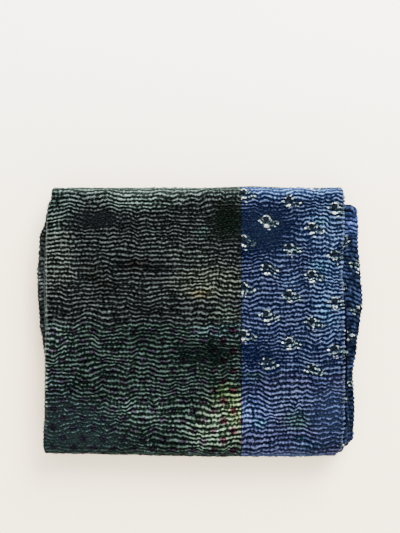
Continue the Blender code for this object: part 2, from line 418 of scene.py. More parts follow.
    def strip_line(self, place: np.ndarray, x: np.ndarray) -> tuple:
        """The middle line of the strip.

        Args:
            place: Places along the strip.
            x: Where across it, in the same shape.

        Returns:
            Its y, its z, and the y and z of its normal, on the side of the flap's face.
        """
        index = np.clip(np.floor(place), 0, len(Run) - 1).astype(int)
        share = place - index
        tongue = 1 - smooth_step(0, self.tongue_half, np.abs(x - self.tongue_x))
        floor_end = self.floor_end + self.tongue * tongue
        upper_end = self.upper_end - self.end_slant * x / self.panel_width
        upper_end = upper_end - self.end_rounding * smooth_step(*self.corner, np.abs(x))
        y, z, normal_y, normal_z = (np.zeros(place.shape) for _ in range(4))
        straight = {
            Run.FLOOR: (floor_end, self.front_bend + 0 * x, -1.0),
            Run.TOP: (self.front_bend + 0 * x, self.back_bend + 0 * x, 1.0),
            Run.INSIDE: (self.back_bend + 0 * x, self.front_bend + 0 * x, -1.0),
            Run.UPPER: (self.front_bend + 0 * x, upper_end, 1.0),
        }
        for run, (start, end, up) in straight.items():
            here = index == run.value
            y[here] = (start + (end - start) * share)[here]
            z[here] = self.run_height(run)
            normal_z[here] = up
        bends = {
            Run.FRONT_FOLD: (self.front_bend, self.run_height(Run.FLOOR), 1, -90),
            Run.BACK_FOLD: (self.back_bend, self.run_height(Run.TOP), -1, 90),
            Run.INNER_FOLD: (self.front_bend, self.run_height(Run.INSIDE), 1, -90),
        }
        for run, (bend, bottom, side, first) in bends.items():
            here = index == run.value
            angle = np.radians(first - 180 * share[here])
            normal_y[here], normal_z[here] = np.cos(angle), np.sin(angle)
            y[here] = bend + self.radius(run) * normal_y[here]
            z[here] = bottom + self.radius(run) * (side + normal_z[here])
        return y, z, normal_y, normal_z

    def points(self, x: np.ndarray, rise: np.ndarray, place: np.ndarray) -> np.ndarray:
        """Points of the cloth in the pile, with the pile's unevenness.

        Args:
            x: Where across the strip.
            rise: Heights above its middle.
            place: Places along it.

        Returns:
            X, Y and Z on a last axis.
        """
        y, z, normal_y, normal_z = self.strip_line(place, x)
        y, z = y + normal_y * rise, np.maximum(z + normal_z * rise, 0.0)
        z = z + self.crown * self.drift.at(x / self.crown_length, y / self.crown_length) * z / self.height
        held_back = 1 - smooth_step(*self.bow_left, x)
        held_back = held_back + self.bow_right_share * smooth_step(*self.bow_right, x)
        near_front = smooth_step(self.bow_start, self.front_edge + self.bow_full, y)
        y = y + self.front_bow * held_back * near_front
        return np.stack([x + self.shift[0], y + self.shift[1], z], axis=-1)


@dataclass(frozen=True)
class FlatPatch:
    """A place on top where the rows pull less, and the cloth lies flatter.

    Its middle and how far it reaches from there are in flat millimetres. The loss is a share of the pull.
    """

    x: float
    y: float
    width: float
    depth: float
    loss: float


@dataclass(frozen=True)
class RunningStitch:
    """The rows of running stitch and the ridges that stand up between them."""

    row_pitch: float = 7.3 * MM
    stitch_pitch: float = 6.8 * MM
    ridge: float = 2.9 * MM
    # where a line lies between two rows, how high it stands there, and how much it is lightened as wear and
    # painted highlight
    phases: tuple = (0.0, 0.16, 0.33, 0.50, 0.67, 0.84)
    profile: tuple = (0.0, 0.42, 0.90, 1.0, 0.82, 0.36)
    rubbing_and_highlight: tuple = (0.0, 0.12, 0.65, 1.13, 0.60, 0.10)
    # how far the rows stray, and the width and depth of each kind of straying
    sway: tuple = (5.0 * MM, 75 * MM, 62 * MM)
    bend: tuple = (5.2 * MM, 30 * MM, 44 * MM)
    ripple: tuple = (2.3 * MM, 8.5 * MM, 27 * MM)
    jog: tuple = (1.15 * MM, 4.0 * MM, 15 * MM)
    single: tuple = (0.8 * MM, 14 * MM, 10 * MM)
    # on the charcoal cloth, back from the first length and left of the second, the rows stray this much less
    calm: tuple = (0.2, 40 * MM, 60 * MM, 90 * MM)
    # moves the places of all these sideways a little, so that they don't line up from row to row
    slip: tuple = (7 * MM, 60 * MM, 50 * MM)
    # the rows are closer together at the back of the pile's top than at its front
    spread: float = 6.5 * MM
    spread_at: float = 225 * MM
    spread_fade: tuple = (200 * MM, 330 * MM)
    # how hard the rows pull, and by how much, how wide and how deep that varies
    pull_mean: float = 0.92
    pull_drift: tuple = (0.16, 45 * MM, 35 * MM)
    # where the valleys start to open, are open, start to close and are closed, at the front and at the back
    opened_front: tuple = (-198 * MM, -228 * MM, -300 * MM, -340 * MM)
    opened_back: tuple = (212 * MM, 236 * MM, 270 * MM, 300 * MM)
    opened_back_share: float = 0.65
    # how many stitches they run ahead or behind, and over what width: slowly, and from one to the next
    stitch_drift: tuple = (1.4, 90 * MM)
    stitch_jitter: tuple = (0.34, 13 * MM)
    # how far a ridge narrows and swells along its row, over what width: in beads, and more slowly
    beads: tuple = (0.42, 4.6 * MM)
    swells: tuple = (0.17, 19 * MM)
    # how much each stitch's thread presses into the ridge beside it, and where in the stitch its middle is
    notch: float = 0.13
    thread_middle: float = 0.27
    # how high the cloth bridges a row where the thread runs underneath, at each line
    bridging: tuple = (0.62, 0.36, 0.0, 0.0, 0.0, 0.36)
    drifts: tuple = field(default_factory=lambda: tuple(Drift(seed) for seed in range(11, 19)))
    kinks: tuple = field(default_factory=lambda: (Drift(21, kinked=True), Drift(22)))
    flat_patches: tuple = (
        FlatPatch(-160, 171, 46, 17, 0.6),
        FlatPatch(-68, 92, 30, 12, 0.5),
        FlatPatch(52, 174, 36, 38, 0.6),
        FlatPatch(120, 156, 56, 52, 0.62),
        FlatPatch(28, -48, 68, 28, 0.5),
        FlatPatch(108, -55, 40, 30, 0.35),
        FlatPatch(232, -165, 56, 76, 0.25),
        FlatPatch(-205, -180, 100, 60, 0.22),
        FlatPatch(-170, -203, 145, 26, 0.3),
    )

    def strayed(self, x: np.ndarray, y: np.ndarray) -> np.ndarray:
        """How far the rows stray along the quilt from straight.

        Args:
            x: Flat x.
            y: Flat y of the straight row.

        Returns:
            The distance to add to y.
        """
        strayed = -self.spread * (y / self.spread_at) ** 2 * (1 - smooth_step(*self.spread_fade, np.abs(y)))
        share, back, left, right = self.calm
        calmer = 1 - share * smooth_step(0, back, y) * smooth_step(right, left, x)
        slip, slip_width, slip_depth = self.slip
        x = x + slip * self.kinks[1].at(x / slip_width, y / slip_depth)
        for drift, (reach, width, depth) in zip(
            (self.drifts[0], self.drifts[1], self.kinks[0], self.drifts[2], self.drifts[3]),
            (self.sway, self.bend, self.ripple, self.jog, self.single),
        ):
            strayed = strayed + calmer * reach * drift.at(x / width, y / depth)
        return strayed

    def pull(self, x: np.ndarray, y: np.ndarray) -> np.ndarray:
        """How hard the rows pull the cloth up.

        Args:
            x: Flat x.
            y: Flat y.

        Returns:
            The pull, as a share of what makes a full ridge.
        """
        reach, width, depth = self.pull_drift
        strength = self.pull_mean + reach * self.drifts[4].at(x / width, y / depth)
        for spot in self.flat_patches:
            away = np.hypot((x / MM - spot.x) / spot.width, (y / MM - spot.y) / spot.depth)
            strength = strength * (1 - spot.loss * (1 - smooth_step(0.2, 1.25, away)))
        return strength

    def opened(self, y: np.ndarray) -> np.ndarray:
        """How far the valleys between the ridges open where the top bends down at its two ends, and how far
        the colour there is painted lighter and freer of valley shade.

        Args:
            y: Flat y.

        Returns:
            How far they are open, from 0 to 1.
        """
        front, back = (smooth_step(*ends[:2], y) * (1 - smooth_step(*ends[2:], y))
                       for ends in (self.opened_front, self.opened_back))
        return np.maximum(front, self.opened_back_share * back)

    def stitch_phase(self, x: np.ndarray, row: np.ndarray) -> np.ndarray:
        """Where x lies in a row's stitches.

        Args:
            x: Flat x.
            row: The row's number.

        Returns:
            A number that rises by one with each stitch, whose thread is on top for the first part of it.
        """
        (slow, slow_width), (quick, quick_width) = self.stitch_drift, self.stitch_jitter
        ahead = slow * self.drifts[5].at(x / slow_width, row * 0.61)
        return x / self.stitch_pitch + ahead + quick * self.drifts[5].at(x / quick_width, 40 + row * 1.7)

    def height(self, x: np.ndarray, y: np.ndarray, row: np.ndarray, line: np.ndarray) -> tuple:
        """How far the cloth stands up.

        Args:
            x: Flat x.
            y: Flat y.
            row: The number of the row before the line.
            line: Which of the lines between two rows it is.

        Returns:
            The height, and how near a crest it is, from 0 in a row to 1 on a crest, which sets the painted
            valley shade and how much wear and painted highlight lighten it.
        """
        share = np.array(self.profile)[line]
        rubbed_and_lit = np.array(self.rubbing_and_highlight)[line]
        (bead, bead_width), (swell, swell_width) = self.beads, self.swells
        pinch = 1 + bead * self.drifts[6].at(x / bead_width, row * 1.37)
        pinch = pinch + swell * self.drifts[7].at(x / swell_width, row * 0.9)
        stitch = self.stitch_phase(x, row) % 1.0
        loose = smooth_step(0.50, 0.64, stitch) * (1 - smooth_step(0.86, 1.0, stitch))
        notch = self.notch * np.cos(2 * math.pi * (stitch - self.thread_middle))
        bridge = loose * np.clip(0.35 + 0.65 * self.kinks[1].at(x / (6 * MM), 7 + row * 1.9), 0, 1)
        in_row = np.array(self.bridging)[line] * bridge
        pull, opened = self.pull(x, y), self.opened(y)
        in_row = in_row * (1 - 0.8 * opened)
        lift = self.ridge * pull * (share * (pinch - notch) + in_row)
        # how much the colour is lightened here, as wear and as painted highlight on the crests
        worn_and_lit = pull * (rubbed_and_lit * (1 + 1.3 * (pinch - 1) - 2.0 * notch) + 1.5 * in_row)
        # where the top bends down, the crest value goes towards a half: painted light on the bends, and less
        # painted valley shade
        return lift * (1 - 0.35 * opened), worn_and_lit + opened * (0.50 - 0.50 * worn_and_lit)


class SheetMaker:
    """Makes closed sheets of quilted cloth on the pile's folds."""

    def __init__(self, pile: FoldedPile, stitch: RunningStitch) -> None:
        """Keeps the pile and the rows that every sheet shares."""
        self.pile = pile
        self.stitch = stitch

    def lines(self, first: float, last: float, per_row: int = 6) -> tuple:
        """The lines of a stretch of the quilt, so many to a row.

        Args:
            first: Flat y of the first row.
            last: Flat y of the last row.
            per_row: 6 for all the lines of a ridge, or fewer.

        Returns:
            The row, line number and flat y of each line.
        """
        chosen = {6: (0, 1, 2, 3, 4, 5), 3: (0, 2, 4)}[per_row]
        pitch = self.stitch.row_pitch
        rows = range(round(first / pitch), round(last / pitch))
        row = np.array([r for r in rows for _ in chosen] + [rows.stop])
        line = np.array([number for _ in rows for number in chosen] + [0])
        return row, line, (row + np.array(self.stitch.phases)[line]) * pitch

    def sleeve(self, name: str, points: np.ndarray, flat: np.ndarray, crest: np.ndarray, face_columns: int,
               back_shift: float = 0.0) -> bpy.types.Object:
        """Winds a grid once round a sheet's two sides and sews its ends shut.

        Args:
            name: The new piece's name.
            points: The grid's points, line by column: the face's columns first, then the back's, returning.
            flat: Flat x and y of each point.
            crest: How near each point is to the crest of a ridge.
            face_columns: How many of the columns are on the face.
            back_shift: Added to the back's flat x, for the other cloth there.

        Returns:
            The piece.
        """
        lines, columns = points.shape[:2]
        bpy.ops.object.select_all(action="DESELECT")
        bpy.ops.mesh.primitive_grid_add(x_subdivisions=columns, y_subdivisions=lines - 1, size=1,
                                        calc_uvs=False)
        piece = bpy.context.object
        piece.name = piece.data.name = name
        mesh = piece.data
        wound = np.concatenate([points, points[:, :1]], axis=1).reshape(-1, 3)
        flat = np.concatenate([flat, flat[:, :1]], axis=1).reshape(-1, 2)
        crest = np.concatenate([crest, crest[:, :1]], axis=1).reshape(-1)
        mesh.vertices.foreach_set("co", wound.ravel())
        mesh.attributes.new("crest", "FLOAT", "POINT").data.foreach_set("value", crest.astype(np.float32))
        corners = np.empty(len(mesh.loops), dtype=np.int32)
        mesh.loops.foreach_get("vertex_index", corners)
        placed = flat[corners].reshape(-1, 4, 2)
        on_back = (corners.reshape(-1, 4) % (columns + 1)).min(axis=1) >= face_columns - 1
        placed[on_back, :, 0] += back_shift
        mesh.uv_layers.new(name="cloth").uv.foreach_set("vector", placed.astype(np.float32).ravel())
        shape = bmesh.new()
        shape.from_mesh(mesh)
        shape.verts.ensure_lookup_table()
        cloth_map = shape.loops.layers.uv["cloth"]
        wide = columns + 1
        for end in (0, lines - 1):
            face = [(flat[end * wide + c, 0], end * wide + c) for c in range(face_columns)]
            back = [(flat[end * wide + c, 0], end * wide + c)
                    for c in range(columns - 1, face_columns - 1, -1)]
            for triangle in self.zipped(face, back):
                new = shape.faces.new([shape.verts[index] for index in triangle])
                for loop, index in zip(new.loops, triangle):
                    loop[cloth_map].uv = flat[index]
        bmesh.ops.remove_doubles(shape, verts=shape.verts, dist=1e-7)
        bmesh.ops.recalc_face_normals(shape, faces=shape.faces)
        shape.to_mesh(mesh)
        shape.free()
        mesh.shade_smooth()
        return piece

    def zipped(self, face: list[tuple], back: list[tuple]) -> list[tuple]:
        """Triangles between the face's and the back's columns at an end, matched by flat x, which falls.

        Args:
            face: (flat x, vertex) of each of the face's columns.
            back: The same for the back's.

        Returns:
            Triples of vertices.
        """
        triangles, i, j = [], 0, 0
        while i < len(face) - 1 or j < len(back) - 1:
            next_face = face[i + 1][0] if i < len(face) - 1 else -math.inf
            next_back = back[j + 1][0] if j < len(back) - 1 else -math.inf
            if next_face >= next_back:
                triangles.append((face[i][1], face[i + 1][1], back[j][1]))
                i += 1
            else:
                triangles.append((face[i][1], back[j + 1][1], back[j][1]))
                j += 1
        return triangles


def steps(start: float, end: float, pitch: float) -> list[float]:
    """Evenly spaced values from start up to, but not including, end, about pitch apart."""
    count = max(1, round(abs(end - start) / pitch))
    return [start + (end - start) * step / count for step in range(count)]


@dataclass
class QuiltCloth:
    """The whole quilt, as one closed sheet of layered cotton, which the sari patches are sewn onto."""

    maker: SheetMaker
    # how far it lies lower under the patches, and the places along the strip where they start and end
    skin_drop: float = 1.6 * MM
    covered: tuple = (1.08, 3.97)
    covered_ease: tuple = (0.04, 0.03)
    # how high its ridges are, inside the pile and where its folds show
    ridge_share: float = 0.42
    border_share: float = 0.72
    # the columns are this close together in a border this wide beside the folds
    fine: float = 4 * MM
    border: float = 30 * MM
    # the tops of the layers on the floor are set down this much, so that they clear the run above
    floor_sink: float = 0.9 * MM
    # how light its turned hems are painted, as a crest is by wear and painted highlight
    hem_crest: float = 1.25

    def columns(self) -> tuple:
        """The sheet's columns, from its right hem to its left.

        Returns:
            Those on its face and those on its back.
        """
        near = steps(0.0, self.border, self.fine)
        turn = [step / 8 for step in range(8)]
        right_hem = (2.3 * MM, 6 * MM, 14 * MM)
        left_hem = (12 * MM, 8 * MM, 4 * MM, 1.5 * MM, 0.0)
        face = [Column(Face.FLAP, 0.0, -offset) for offset in right_hem]
        face += [Column(Face.FLAP, share) for share in (0.2, 0.4, 0.6, 0.8)]
        face += [Column(Face.FLAP, 1.0, self.border - offset) for offset in near]
        face += [Column(Face.LEFT_TURN, share) for share in turn]
        face += [Column(Face.MIDDLE, share) for share in (0.0, 0.3, 0.6, 0.9)]
        face += [Column(Face.RIGHT_TURN, share) for share in (0.0, 0.25, 0.5, 0.75)]
        face += [Column(Face.UNDER, share) for share in (0.0, 0.3, 0.6, 0.9)]
        face += [Column(Face.UNDER, 1.0, offset) for offset in left_hem]
        back = [Column(Face.FLAP_BACK, 0.0, -offset) for offset in right_hem]
        back += [Column(Face.FLAP_BACK, share) for share in (0.3, 0.6, 0.9)]
        back += [Column(Face.LEFT_TURN_BACK, share) for share in (0.0, 0.25, 0.5, 0.75)]
        back += [Column(Face.MIDDLE_BACK, share) for share in (0.0, 0.3, 0.6)]
        back += [Column(Face.MIDDLE_BACK, 1.0, offset - 2 * self.border) for offset in
                 steps(0.0, 2 * self.border, self.fine)]
        back += [Column(Face.RIGHT_TURN_BACK, share) for share in turn]
        back += [Column(Face.UNDER_BACK, 0.0, -offset) for offset in (0.0, 4 * MM, 9 * MM)]
        back += [Column(Face.UNDER_BACK, share) for share in (0.2, 0.4, 0.6, 0.8)]
        back += [Column(Face.UNDER_BACK, 1.0, offset) for offset in left_hem]
        return face, back

    def build(self) -> bpy.types.Object:
        """Builds the sheet.

        Returns:
            The piece.
        """
        pile, stitch = self.maker.pile, self.maker.stitch
        ends = pile.flat_ends()
        row, line, flat_y = self.maker.lines(ends[0], ends[-1], 3)
        flat_y = np.interp(flat_y, (flat_y[0], flat_y[-1]), (ends[0], ends[-1]))
        place = pile.place_at(flat_y)
        face, back = self.columns()
        columns = face + back[::-1]
        section = pile.section(columns, place)
        shape = section.x.shape
        places, rows, lines = (np.broadcast_to(v[:, None], shape) for v in (place, row, line))
        ys = np.broadcast_to(flat_y[:, None], shape)
        room = smooth_step(0, 0.03, np.minimum(places, len(Run) - places))
        strayed_y = ys + stitch.strayed(section.flat_x, ys) * room
        height, crest = stitch.height(section.flat_x, ys, rows, lines)
        squeeze = np.ones(shape)
        for run in FOLDS:
            here, middle = np.floor(places) == run.value, pile.radius(run)
            squeeze[here] = ((middle + section.rise) / (middle + pile.half_strip))[here]
        shown = {Face.LEFT_TURN, Face.RIGHT_TURN_BACK}
        share = np.array([self.border_share if c.face in shown or c.face is Face.MIDDLE_BACK and c.offset
                          else self.ridge_share for c in columns])
        height = height * share * np.clip(squeeze, 0.15, 1.0)
        on_floor = (np.floor(places) == Run.FLOOR.value) & (section.rise > pile.layer_pitch)
        height = height - np.where(on_floor, self.floor_sink, 0.0)
        (start, end), (before, after) = self.covered, self.covered_ease
        under_skin = smooth_step(start - before, start, places) * (1 - smooth_step(end, end + after, places))
        skin = np.array([c.face in (Face.FLAP, Face.LEFT_TURN) for c in columns])
        height = np.where(skin, height * (1 - under_skin) - self.skin_drop * under_skin, height)
        x = section.x + section.out_x * height
        rise = section.rise + section.out_rise * height
        points = pile.points(x, rise, pile.place_at(strayed_y))
        flat = np.stack([section.flat_x, strayed_y], axis=-1)
        hems = np.array([c.face in (Face.UNDER, Face.UNDER_BACK) and c.share == 1.0 and c.offset < 2 * MM
                         for c in columns])
        crest = np.where(hems, self.hem_crest, crest)
        return self.maker.sleeve("quilt_cloth", points, flat, crest, len(face), BACK_SHIFT)


class Side(Enum):
    """The two columns of patches on the face."""

    LEFT = "from the seam round the left fold"
    RIGHT = "from the right hem to the seam"


@dataclass
class SariPatch:
    """One patch of sari cloth on the quilt's face, a closed thin sheet with its puckers."""

    maker: SheetMaker
    name: str
    side: Side
    start: float
    end: float
    # how far the right patches run on under the left ones, and how deep
    lap: float = 3 * MM
    tuck: float = 0.7 * MM
    thickness: float = 0.5 * MM
    # the distance between its columns, and its width across the flap on the left and on the right
    weave: float = 1.05 * MM
    left_width: float = 322 * MM
    right_width: float = 172 * MM
    # how far round the left fold it reaches, and over how many columns it goes flatter and is painted lighter
    # there, as wear and as painted highlight along the fold
    wrap: float = 0.86
    turn_columns: int = 4
    turn_loss: float = 0.45
    # the places along the strip between which its ridges rise from a quarter to full, and sink again
    rise: tuple = (1.10, 1.30)
    sink: tuple = (3.75, 3.95)
    # one column in so many is enough for its hidden underside
    back_step: int = 24

    def columns(self) -> tuple:
        """The patch's columns.

        Returns:
            How far across the flap each flat one lies, and those round the hem or fold.
        """
        arc = math.pi * self.maker.pile.turn_outside
        if self.side is Side.LEFT:
            across = steps(0.0, 1.0, self.weave / self.left_width) + [1.0]
            turn = steps(0.0, self.wrap, self.weave / arc)[1:] + [self.wrap]
            return across, [Column(Face.LEFT_TURN, share) for share in turn]
        roll = steps(0.0, 1.0, self.weave / (math.pi * self.maker.pile.cloth / 2))
        across = steps(0.0, 1.0, self.weave / self.right_width) + [1.0]
        return across, [Column(Face.HEM_ROLL, share) for share in roll]

    def section(self, place: np.ndarray) -> tuple:
        """Places the patch's columns across the strip.

        Args:
            place: The place of each line.

        Returns:
            The section, and the share of the lap under the neighbouring patch at each column.
        """
        pile = self.maker.pile
        across, bends = self.columns()
        bend = pile.section(bends, place)
        edges = pile.edges_at(place)
        left_turn, hem = edges[:, :1] + pile.turn_outside, edges[:, 2:3] - pile.cloth / 2
        shares = np.array(across)[None, :]
        if self.side is Side.LEFT:
            x = SEAM + (left_turn - SEAM) * shares
            lap = 0 * x
        else:
            x = hem + (SEAM - self.lap - hem) * shares
            lap = 1 - smooth_step(SEAM - 0.3 * MM, SEAM + 1.0 * MM, x)
        flat = Section(x, 0 * x + pile.half_strip, 0 * x, 0 * x + 1.0, x)
        parts = (flat, bend) if self.side is Side.LEFT else (bend, flat)
        joined = Section(*(np.concatenate([getattr(part, values.name) for part in parts], axis=1)
                           for values in fields(Section)))
        laps = np.concatenate([lap, 0 * bend.x] if self.side is Side.LEFT else [0 * bend.x, lap], axis=1)
        return joined, laps

    def build(self) -> bpy.types.Object:
        """Builds the patch.

        Returns:
            The piece.
        """
        pile, stitch = self.maker.pile, self.maker.stitch
        row, line, flat_y = self.maker.lines(self.start, self.end)
        place = pile.place_at(flat_y)
        section, sunk = self.section(place)
        shape = section.x.shape
        places, rows, lines = (np.broadcast_to(v[:, None], shape) for v in (place, row, line))
        ys = np.broadcast_to(flat_y[:, None], shape)
        strayed_y = ys + stitch.strayed(section.flat_x, ys)
        height, crest = stitch.height(section.flat_x, ys, rows, lines)
        fade = smooth_step(*self.rise, places) * (1 - smooth_step(*self.sink, places))
        turned = np.arange(shape[1]) - len(self.columns()[0])
        turn = np.clip(turned, 0, self.turn_columns) / self.turn_columns
        if self.side is Side.LEFT:
            height = height * (1 - self.turn_loss * turn)
        height = height * (1 - sunk) * (0.25 + 0.75 * fade) - self.tuck * sunk
        surface = self.at(section, height, strayed_y)
        kept = sorted(set(range(0, shape[1], self.back_step)) | {shape[1] - 1})
        thin = Section(*(getattr(section, part.name)[:, kept] for part in fields(Section)))
        under = self.at(thin, -self.thickness - self.tuck * sunk[:, kept], strayed_y[:, kept])
        points = np.concatenate([surface, under[:, ::-1]], axis=1)
        flat = np.stack([section.flat_x, strayed_y], axis=-1)
        flat = np.concatenate([flat, flat[:, kept][:, ::-1]], axis=1)
        crest = crest * (1 - sunk)
        if self.side is Side.RIGHT:
            edge = np.arange(shape[1]) < len(self.columns()[1])
            # the rounded right hem is painted lighter where the crests meet it: painted highlight, with its
            # wear
            crest[:, edge] = 1.05 * crest[:, edge] + 0.22
        else:
            # along the left fold the colour is painted lighter: wear, and painted highlight on the fold
            crest = crest * (1 - 0.4 * turn) + 0.85 * turn
        crest = np.concatenate([crest, 0 * crest[:, kept]], axis=1)
        return self.maker.sleeve(self.name, points, flat, crest, shape[1])

    def at(self, section: Section, height: np.ndarray, strayed_y: np.ndarray) -> np.ndarray:
        """The points of the patch at a height above its stitched rows.

        Args:
            section: Where its columns lie.
            height: The height of each point.
            strayed_y: Flat y of each point.

        Returns:
            X, Y and Z on a last axis.
        """
        pile = self.maker.pile
        x, rise = section.x + section.out_x * height, section.rise + section.out_rise * height
        return pile.points(x, rise, pile.place_at(strayed_y))


@dataclass
class StitchThreads:
    """The threads of the running stitch, where they lie on top of the cloth."""

    maker: SheetMaker
    name: str = "running_stitches"
    radius: float = 0.24 * MM
    sides: int = 4
    cuts: int = 1
    # the share of a stitch's pitch that its thread is on top, and how deep its ends go into the cloth
    reach: float = 0.55
    bury: float = 0.5 * MM
    # how far it stops from the front fold's start and the back fold's end, and from the left fold and the hem
    end_margins: tuple = (22 * MM, 12 * MM)
    side_margins: tuple = (5 * MM, 2 * MM)

    def stretch(self) -> tuple:
        """Flat y where the stitches start and where they end."""
        pile, (front, back) = self.maker.pile, self.end_margins
        return pile.start_of(Run.FRONT_FOLD) + front, pile.start_of(Run.INSIDE) - back

    def one_stitch(self) -> tuple:
        """Models one stitch, one unit long along X, and takes its corners and faces.

        Returns:
            Its corners and its faces.
        """
        bpy.ops.object.select_all(action="DESELECT")
        bpy.ops.mesh.primitive_cylinder_add(vertices=self.sides, radius=1, depth=1, end_fill_type="NGON",
                                            rotation=(0, math.pi / 2, 0))
        model = bpy.context.object
        bpy.ops.object.transform_apply(location=False, rotation=True, scale=False)
        bpy.ops.object.mode_set(mode="EDIT")
        for cut in range(1, self.cuts + 1):
            bpy.ops.mesh.select_all(action="SELECT")
            bpy.ops.mesh.bisect(plane_co=(cut / (self.cuts + 1) - 0.5, 0, 0), plane_no=(1, 0, 0))
        bpy.ops.object.mode_set(mode="OBJECT")
        corners = np.array([vertex.co for vertex in model.data.vertices])
        faces = [tuple(face.vertices) for face in model.data.polygons]
        bpy.data.objects.remove(model)
        return corners, faces

    def build(self) -> bpy.types.Object:
        """Lays a copy of the stitch in each place along the rows.

        Returns:
            The piece.
        """
        pile, stitch = self.maker.pile, self.maker.stitch
        corners, faces = self.one_stitch()
        rows = np.arange(*(round(y / stitch.row_pitch) for y in self.stretch()))
        edges = pile.edges_at(pile.place_at(rows * stitch.row_pitch))
        starts, numbers = [], []
        for row, (left, _, hem, _) in zip(rows, edges):
            x = np.arange(left + self.side_margins[0], hem - self.side_margins[1], 0.1 * MM)
            phase = stitch.stitch_phase(x, np.full(x.shape, row))
            first = x[1:][np.floor(phase[1:]) > np.floor(phase[:-1])]
            first = first[first < hem - self.side_margins[1] - self.reach * stitch.stitch_pitch]
            starts.append(first)
            numbers.append(np.full(len(first), row))
        start, number = np.concatenate(starts), np.concatenate(numbers)
        along = corners[:, 0] + 0.5
        x = start[:, None] + along * self.reach * stitch.stitch_pitch
        y = np.broadcast_to((number * stitch.row_pitch)[:, None], x.shape)
        lift = self.radius * 0.6 - self.bury * (2 * along - 1) ** 2
        height = lift + self.radius * corners[:, 2]
        strayed_y = y + stitch.strayed(x, y)
        place = pile.place_at(strayed_y + self.radius * corners[:, 1])
        points = pile.points(x, pile.half_strip + height, place)
        return self.laid(points, np.stack([x, strayed_y], axis=-1), faces)

    def laid(self, points: np.ndarray, flat: np.ndarray, faces: list) -> bpy.types.Object:
        """Makes one piece of all the stitches.

        Args:
            points: The corners of each stitch.
            flat: Flat x and y of each corner.
            faces: The faces of one stitch.

        Returns:
            The piece.
        """
        stitches, count = points.shape[:2]
        mesh = bpy.data.meshes.new(self.name)
        all_faces = [tuple(corner + base for corner in face)
                     for base in range(0, count * stitches, count) for face in faces]
        mesh.from_pydata(points.reshape(-1, 3).tolist(), [], all_faces)
        corner_of = np.empty(len(mesh.loops), dtype=np.int32)
        mesh.loops.foreach_get("vertex_index", corner_of)
        placed = flat.reshape(-1, 2)[corner_of].astype(np.float32)
        mesh.uv_layers.new(name="cloth").uv.foreach_set("vector", placed.ravel())
        piece = bpy.data.objects.new(self.name, mesh)
        bpy.context.scene.collection.objects.link(piece)
        mesh.shade_smooth()
        LOG.info("%s: %d stitches", self.name, stitches)
        return piece


@dataclass
class HemStitches(StitchThreads):
    """The overcast stitches that close the right hem, slanting threads from its top over to its underside."""

    name: str = "hem_stitches"
    radius: float = 0.34 * MM
    sides: int = 5
    cuts: int = 7
    end_margins: tuple = (26 * MM, 16 * MM)
    # how far it lies on top, how far it slants along the hem, and how far it is from the next
    top: float = 2.6 * MM
    slant: float = 3.6 * MM
    gap: float = 6.3 * MM

    def build(self) -> bpy.types.Object:
        """Lays a copy of the stitch in each place along the hem.

        Returns:
            The piece.
        """
        pile, stitch = self.maker.pile, self.maker.stitch
        corners, faces = self.one_stitch()
        middle = np.arange(*self.stretch(), self.gap)
        along = corners[:, 0] + 0.5
        y = middle[:, None] + self.slant * (along - 0.5)
        hem = pile.edges_at(pile.place_at(middle))[:, 2:3] - pile.cloth / 2
        round_hem = along * (self.top + math.pi * pile.cloth / 2) - self.top
        angle = np.clip(round_hem / (pile.cloth / 2), 0, math.pi)
        row = np.floor(y / stitch.row_pitch)
        phase = y / stitch.row_pitch - row
        share = np.interp(phase, (*stitch.phases, 1.0), (*stitch.profile, 0.0))
        lift = stitch.ridge * 0.9 * share + 0.5 * self.radius - self.bury * (2 * along - 1) ** 6
        out = pile.cloth / 2 + lift + self.radius * corners[:, 2]
        x = hem + np.minimum(round_hem, 0) + out * np.sin(angle)
        rise = pile.layer_pitch + out * np.cos(angle)
        strayed_y = y + stitch.strayed(hem + 0 * y, y)
        place = pile.place_at(strayed_y + self.radius * corners[:, 1])
        return self.laid(pile.points(x, rise, place), np.stack([x, strayed_y], axis=-1), faces)


class Motif(Enum):
    """What is printed on a sari cloth."""

    PLAIN = "no print"
    SPOTS = "small spots, each second one left out"
    SPRIGS = "sprigs of three petals and a bud"


@dataclass(frozen=True)
class DyeAndLightTone:
    """A soft oval painted another shade: partly the dye's own unevenness, and partly painted light and shade
    on the folds, edges and gaps.

    Its middle is in flat millimetres, and so is how far it reaches from there.
    """

    x: float
    y: float
    width: float
    depth: float
    shade: str
    strength: float = 0.7
    # how much of the painted valley shade is taken away there
    calm: float = 0.0


